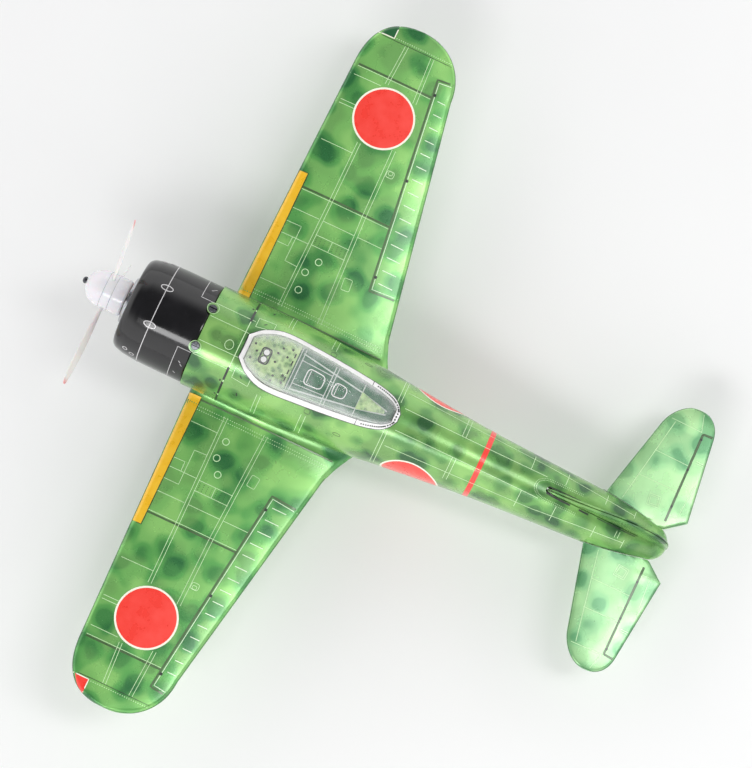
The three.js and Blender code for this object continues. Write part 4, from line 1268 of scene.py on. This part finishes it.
# ---- wheels -----------------------------------------------------------------------------------------
def main_wheel(side_name, side):
    place = about_x(side * WHEEL_X, WHEEL_Y, WHEEL_Z, side)
    half = [(8.95, -3.4), (10.6, -4), (12.9, -3.3), (WHEEL_RADIUS, -1.4)]
    profile = rounded(half + [(radius, -across) for radius, across in reversed(half)], 1.2, 4)
    tyre = Solid().turned(profile, place, 96)
    groove_cut = Solid()
    for along_x in (-1.9, 0, 1.9):
        groove_cut.turned([(13.3, along_x - 0.25), (14.4, along_x - 0.3), (14.4, along_x + 0.3),
                           (13.3, along_x + 0.25)], place, 96)
    piece(f"tyre_rubber_{side_name}", tyre, LOOKS["rubber"], f"wheel_{side_name}",
          [f"tyre_{side_name}"], cutters=groove_cut)
    hub = rounded([(1.75, -4.3), (3.1, -4.3), (3.6, -3.0), (5.4, -2.1), (7.2, -2.4), (8.1, -3.3), (8.6, -3.2),
                   (8.6, 3.2), (8.1, 3.3), (7.2, 2.4), (5.4, 2.1), (3.6, 3.0), (3.1, 4.3), (1.75, 4.3)], 0.4)
    piece(f"hub_disc_{side_name}", Solid().turned(hub, place, 64), LOOKS["steel"],
          f"wheel_{side_name}", [f"wheel_hub_{side_name}"])


def tail_wheel():
    place = about_x(0, TAIL_WHEEL_Y, TAIL_WHEEL_Z)
    half = [(1.35, -2), (4.4, -2), (5.5, -1.7), (TAIL_WHEEL_RADIUS, -0.8)]
    profile = rounded(half + [(radius, -across) for radius, across in reversed(half)], 0.5)
    piece("tail_tyre", Solid().turned(profile, place, 56), LOOKS["rubber"], "tail_wheel",
          ["tail_wheel"])


def leg_door(side_name, side):
    """The streamlined door outside each leg, slightly cupped."""
    top = WING_Z + math.tan(DIHEDRAL) * (LEG_X - WING_ROOT_X) - 7
    outer, inner = [], []
    for t in steps(0, 1, 24):
        z = top + (WHEEL_Z - 4.0 - top) * t
        half = 8 - 1.5 * min(t / 0.85, 1)
        if t > 0.8:
            half *= math.sqrt(max(0.02, 1 - ((t - 0.8) / 0.2) ** 2))
        row = [(side * (LEG_X + 5.55 - 0.5 * abs(s) ** 2.5), WHEEL_Y + half * s, z) for s in steps(-1, 1, 14)]
        outer.append(row)
        inner.append([(x - side * 0.6, y, z) for x, y, z in row])
    piece(f"door_panel_{side_name}", Solid().sheet(outer, inner), LOOKS["tail_green"],
          stands_for=[f"leg_door_{side_name}"])


# ---- carried-over CAD pieces ------------------------------------------------------------------------
CARRIED = {
    "steel": ["propeller_shaft", "gear_plate", "motor_shaft", "motor_can", "motor_clamp", "hatch_screw",
              "tail_wheel_axle", "tail_wheel_fork", "undercarriage_leg_port", "undercarriage_leg_starboard",
              "wheel_axle_port", "wheel_axle_starboard"],
    "brass": ["nose_bearing", "shaft_gear", "motor_pinion"],
    "dark_plastic": ["battery_box", "switch_slider"],
    "cell": ["battery_cell_port", "battery_cell_starboard"],
    "tail_green": ["belly_hatch"],
}


def finish_cad_nodes():
    for look, names in CARRIED.items():
        for name in names:
            node = frame["nodes"][name]
            node.data.materials.clear()
            node.data.materials.append(LOOKS[look])


# ---- stage ------------------------------------------------------------------------------------------
def floor():
    mesh = bpy.data.meshes.new("floor")
    far = 3.0
    mesh.from_pydata([(-far, -far, 0), (far, -far, 0), (far, far, 0), (-far, far, 0)], [], [(0, 1, 2, 3)])
    made = bpy.data.objects.new("floor", mesh)
    bpy.context.scene.collection.objects.link(made)
    look = Look("pale_floor", Roughness=0.75)
    paper = look.ramp(look.noise(6, detail=2), (0.2, srgb(247, 247, 247)), (0.8, srgb(250, 250, 250)))
    look.set("Base Color", paper)
    mesh.materials.append(look.material)


def area_light(name, location, target, size, watts, colour=(1, 1, 1)):
    lamp = bpy.data.lights.new(name, "AREA")
    lamp.shape = "RECTANGLE"
    lamp.size, lamp.size_y = size
    lamp.energy = watts
    lamp.color = colour
    made = bpy.data.objects.new(name, lamp)
    made.location = location
    made.rotation_mode = "QUATERNION"
    made.rotation_quaternion = (Vector(target) - Vector(location)).to_track_quat("-Z", "Y")
    bpy.context.scene.collection.objects.link(made)


def lights():
    """A soft room that is dark overhead, with one softbox to port and one above the tail."""
    world = bpy.data.worlds.new("studio")
    world.use_nodes = True
    nodes, links = world.node_tree.nodes, world.node_tree.links
    height = nodes.new("ShaderNodeSeparateXYZ")
    links.new(nodes.new("ShaderNodeTexCoord").outputs["Generated"], height.inputs["Vector"])
    shade = nodes.new("ShaderNodeValToRGB")
    links.new(height.outputs["Z"], shade.inputs["Fac"])
    shade.color_ramp.interpolation = "EASE"
    near, overhead = shade.color_ramp.elements
    near.position, near.color = 0.5, (1, 1, 1, 1)
    overhead.position, overhead.color = 0.88, (0.13, 0.13, 0.135, 1)
    links.new(shade.outputs["Color"], nodes["Background"].inputs["Color"])
    nodes["Background"].inputs["Strength"].default_value = 1.32
    bpy.context.scene.world = world
    area_light("softbox_key", (1.25, 0.1, 1.6), (0, 0, 0), (0.9, 0.42), 9)
    area_light("softbox_rear", (-0.22, 0.96, 1.92), (0, 0.1, 0), (0.4, 0.85), 8)


def camera():
    """Looks almost straight down, from a little behind the port wing."""
    data = bpy.data.cameras.new("camera")
    data.lens = 170.3
    data.sensor_width = 36
    data.sensor_fit = "HORIZONTAL"
    made = bpy.data.objects.new("camera", data)
    forward = Vector((-0.15344, -0.13953, -0.97826)).normalized()
    right = Vector((-0.42013, 0.90526, -0.06322)).normalized()
    up = right.cross(forward)
    turn = Matrix((right, up, -forward)).transposed()
    made.matrix_world = Matrix.Translation((0.2599, 0.2416, 1.800)) @ turn.to_4x4()
    bpy.context.scene.collection.objects.link(made)
    bpy.context.scene.camera = made


def build():
    upper_shell()
    belly()
    lugs()
    canopy()
    cockpit()
    cowl()
    nose()
    propeller()
    for side_name, side in SIDES:
        wing_skin(side_name, side, 1)
        wing_skin(side_name, side, -1)
        wing_lines(side_name, side)
        aileron_lines(side_name, side)
        wing_shadows(side_name, side)
        wing_colours(side_name, side)
        tailplane(side_name, side)
        fin_half(side_name, side)
        main_wheel(side_name, side)
        leg_door(side_name, side)
    fuselage_lines()
    side_roundels()
    tail_wheel()
    finish_cad_nodes()
    floor()
    lights()
    camera()
    bpy.context.scene.view_settings.view_transform = "Standard"


build()
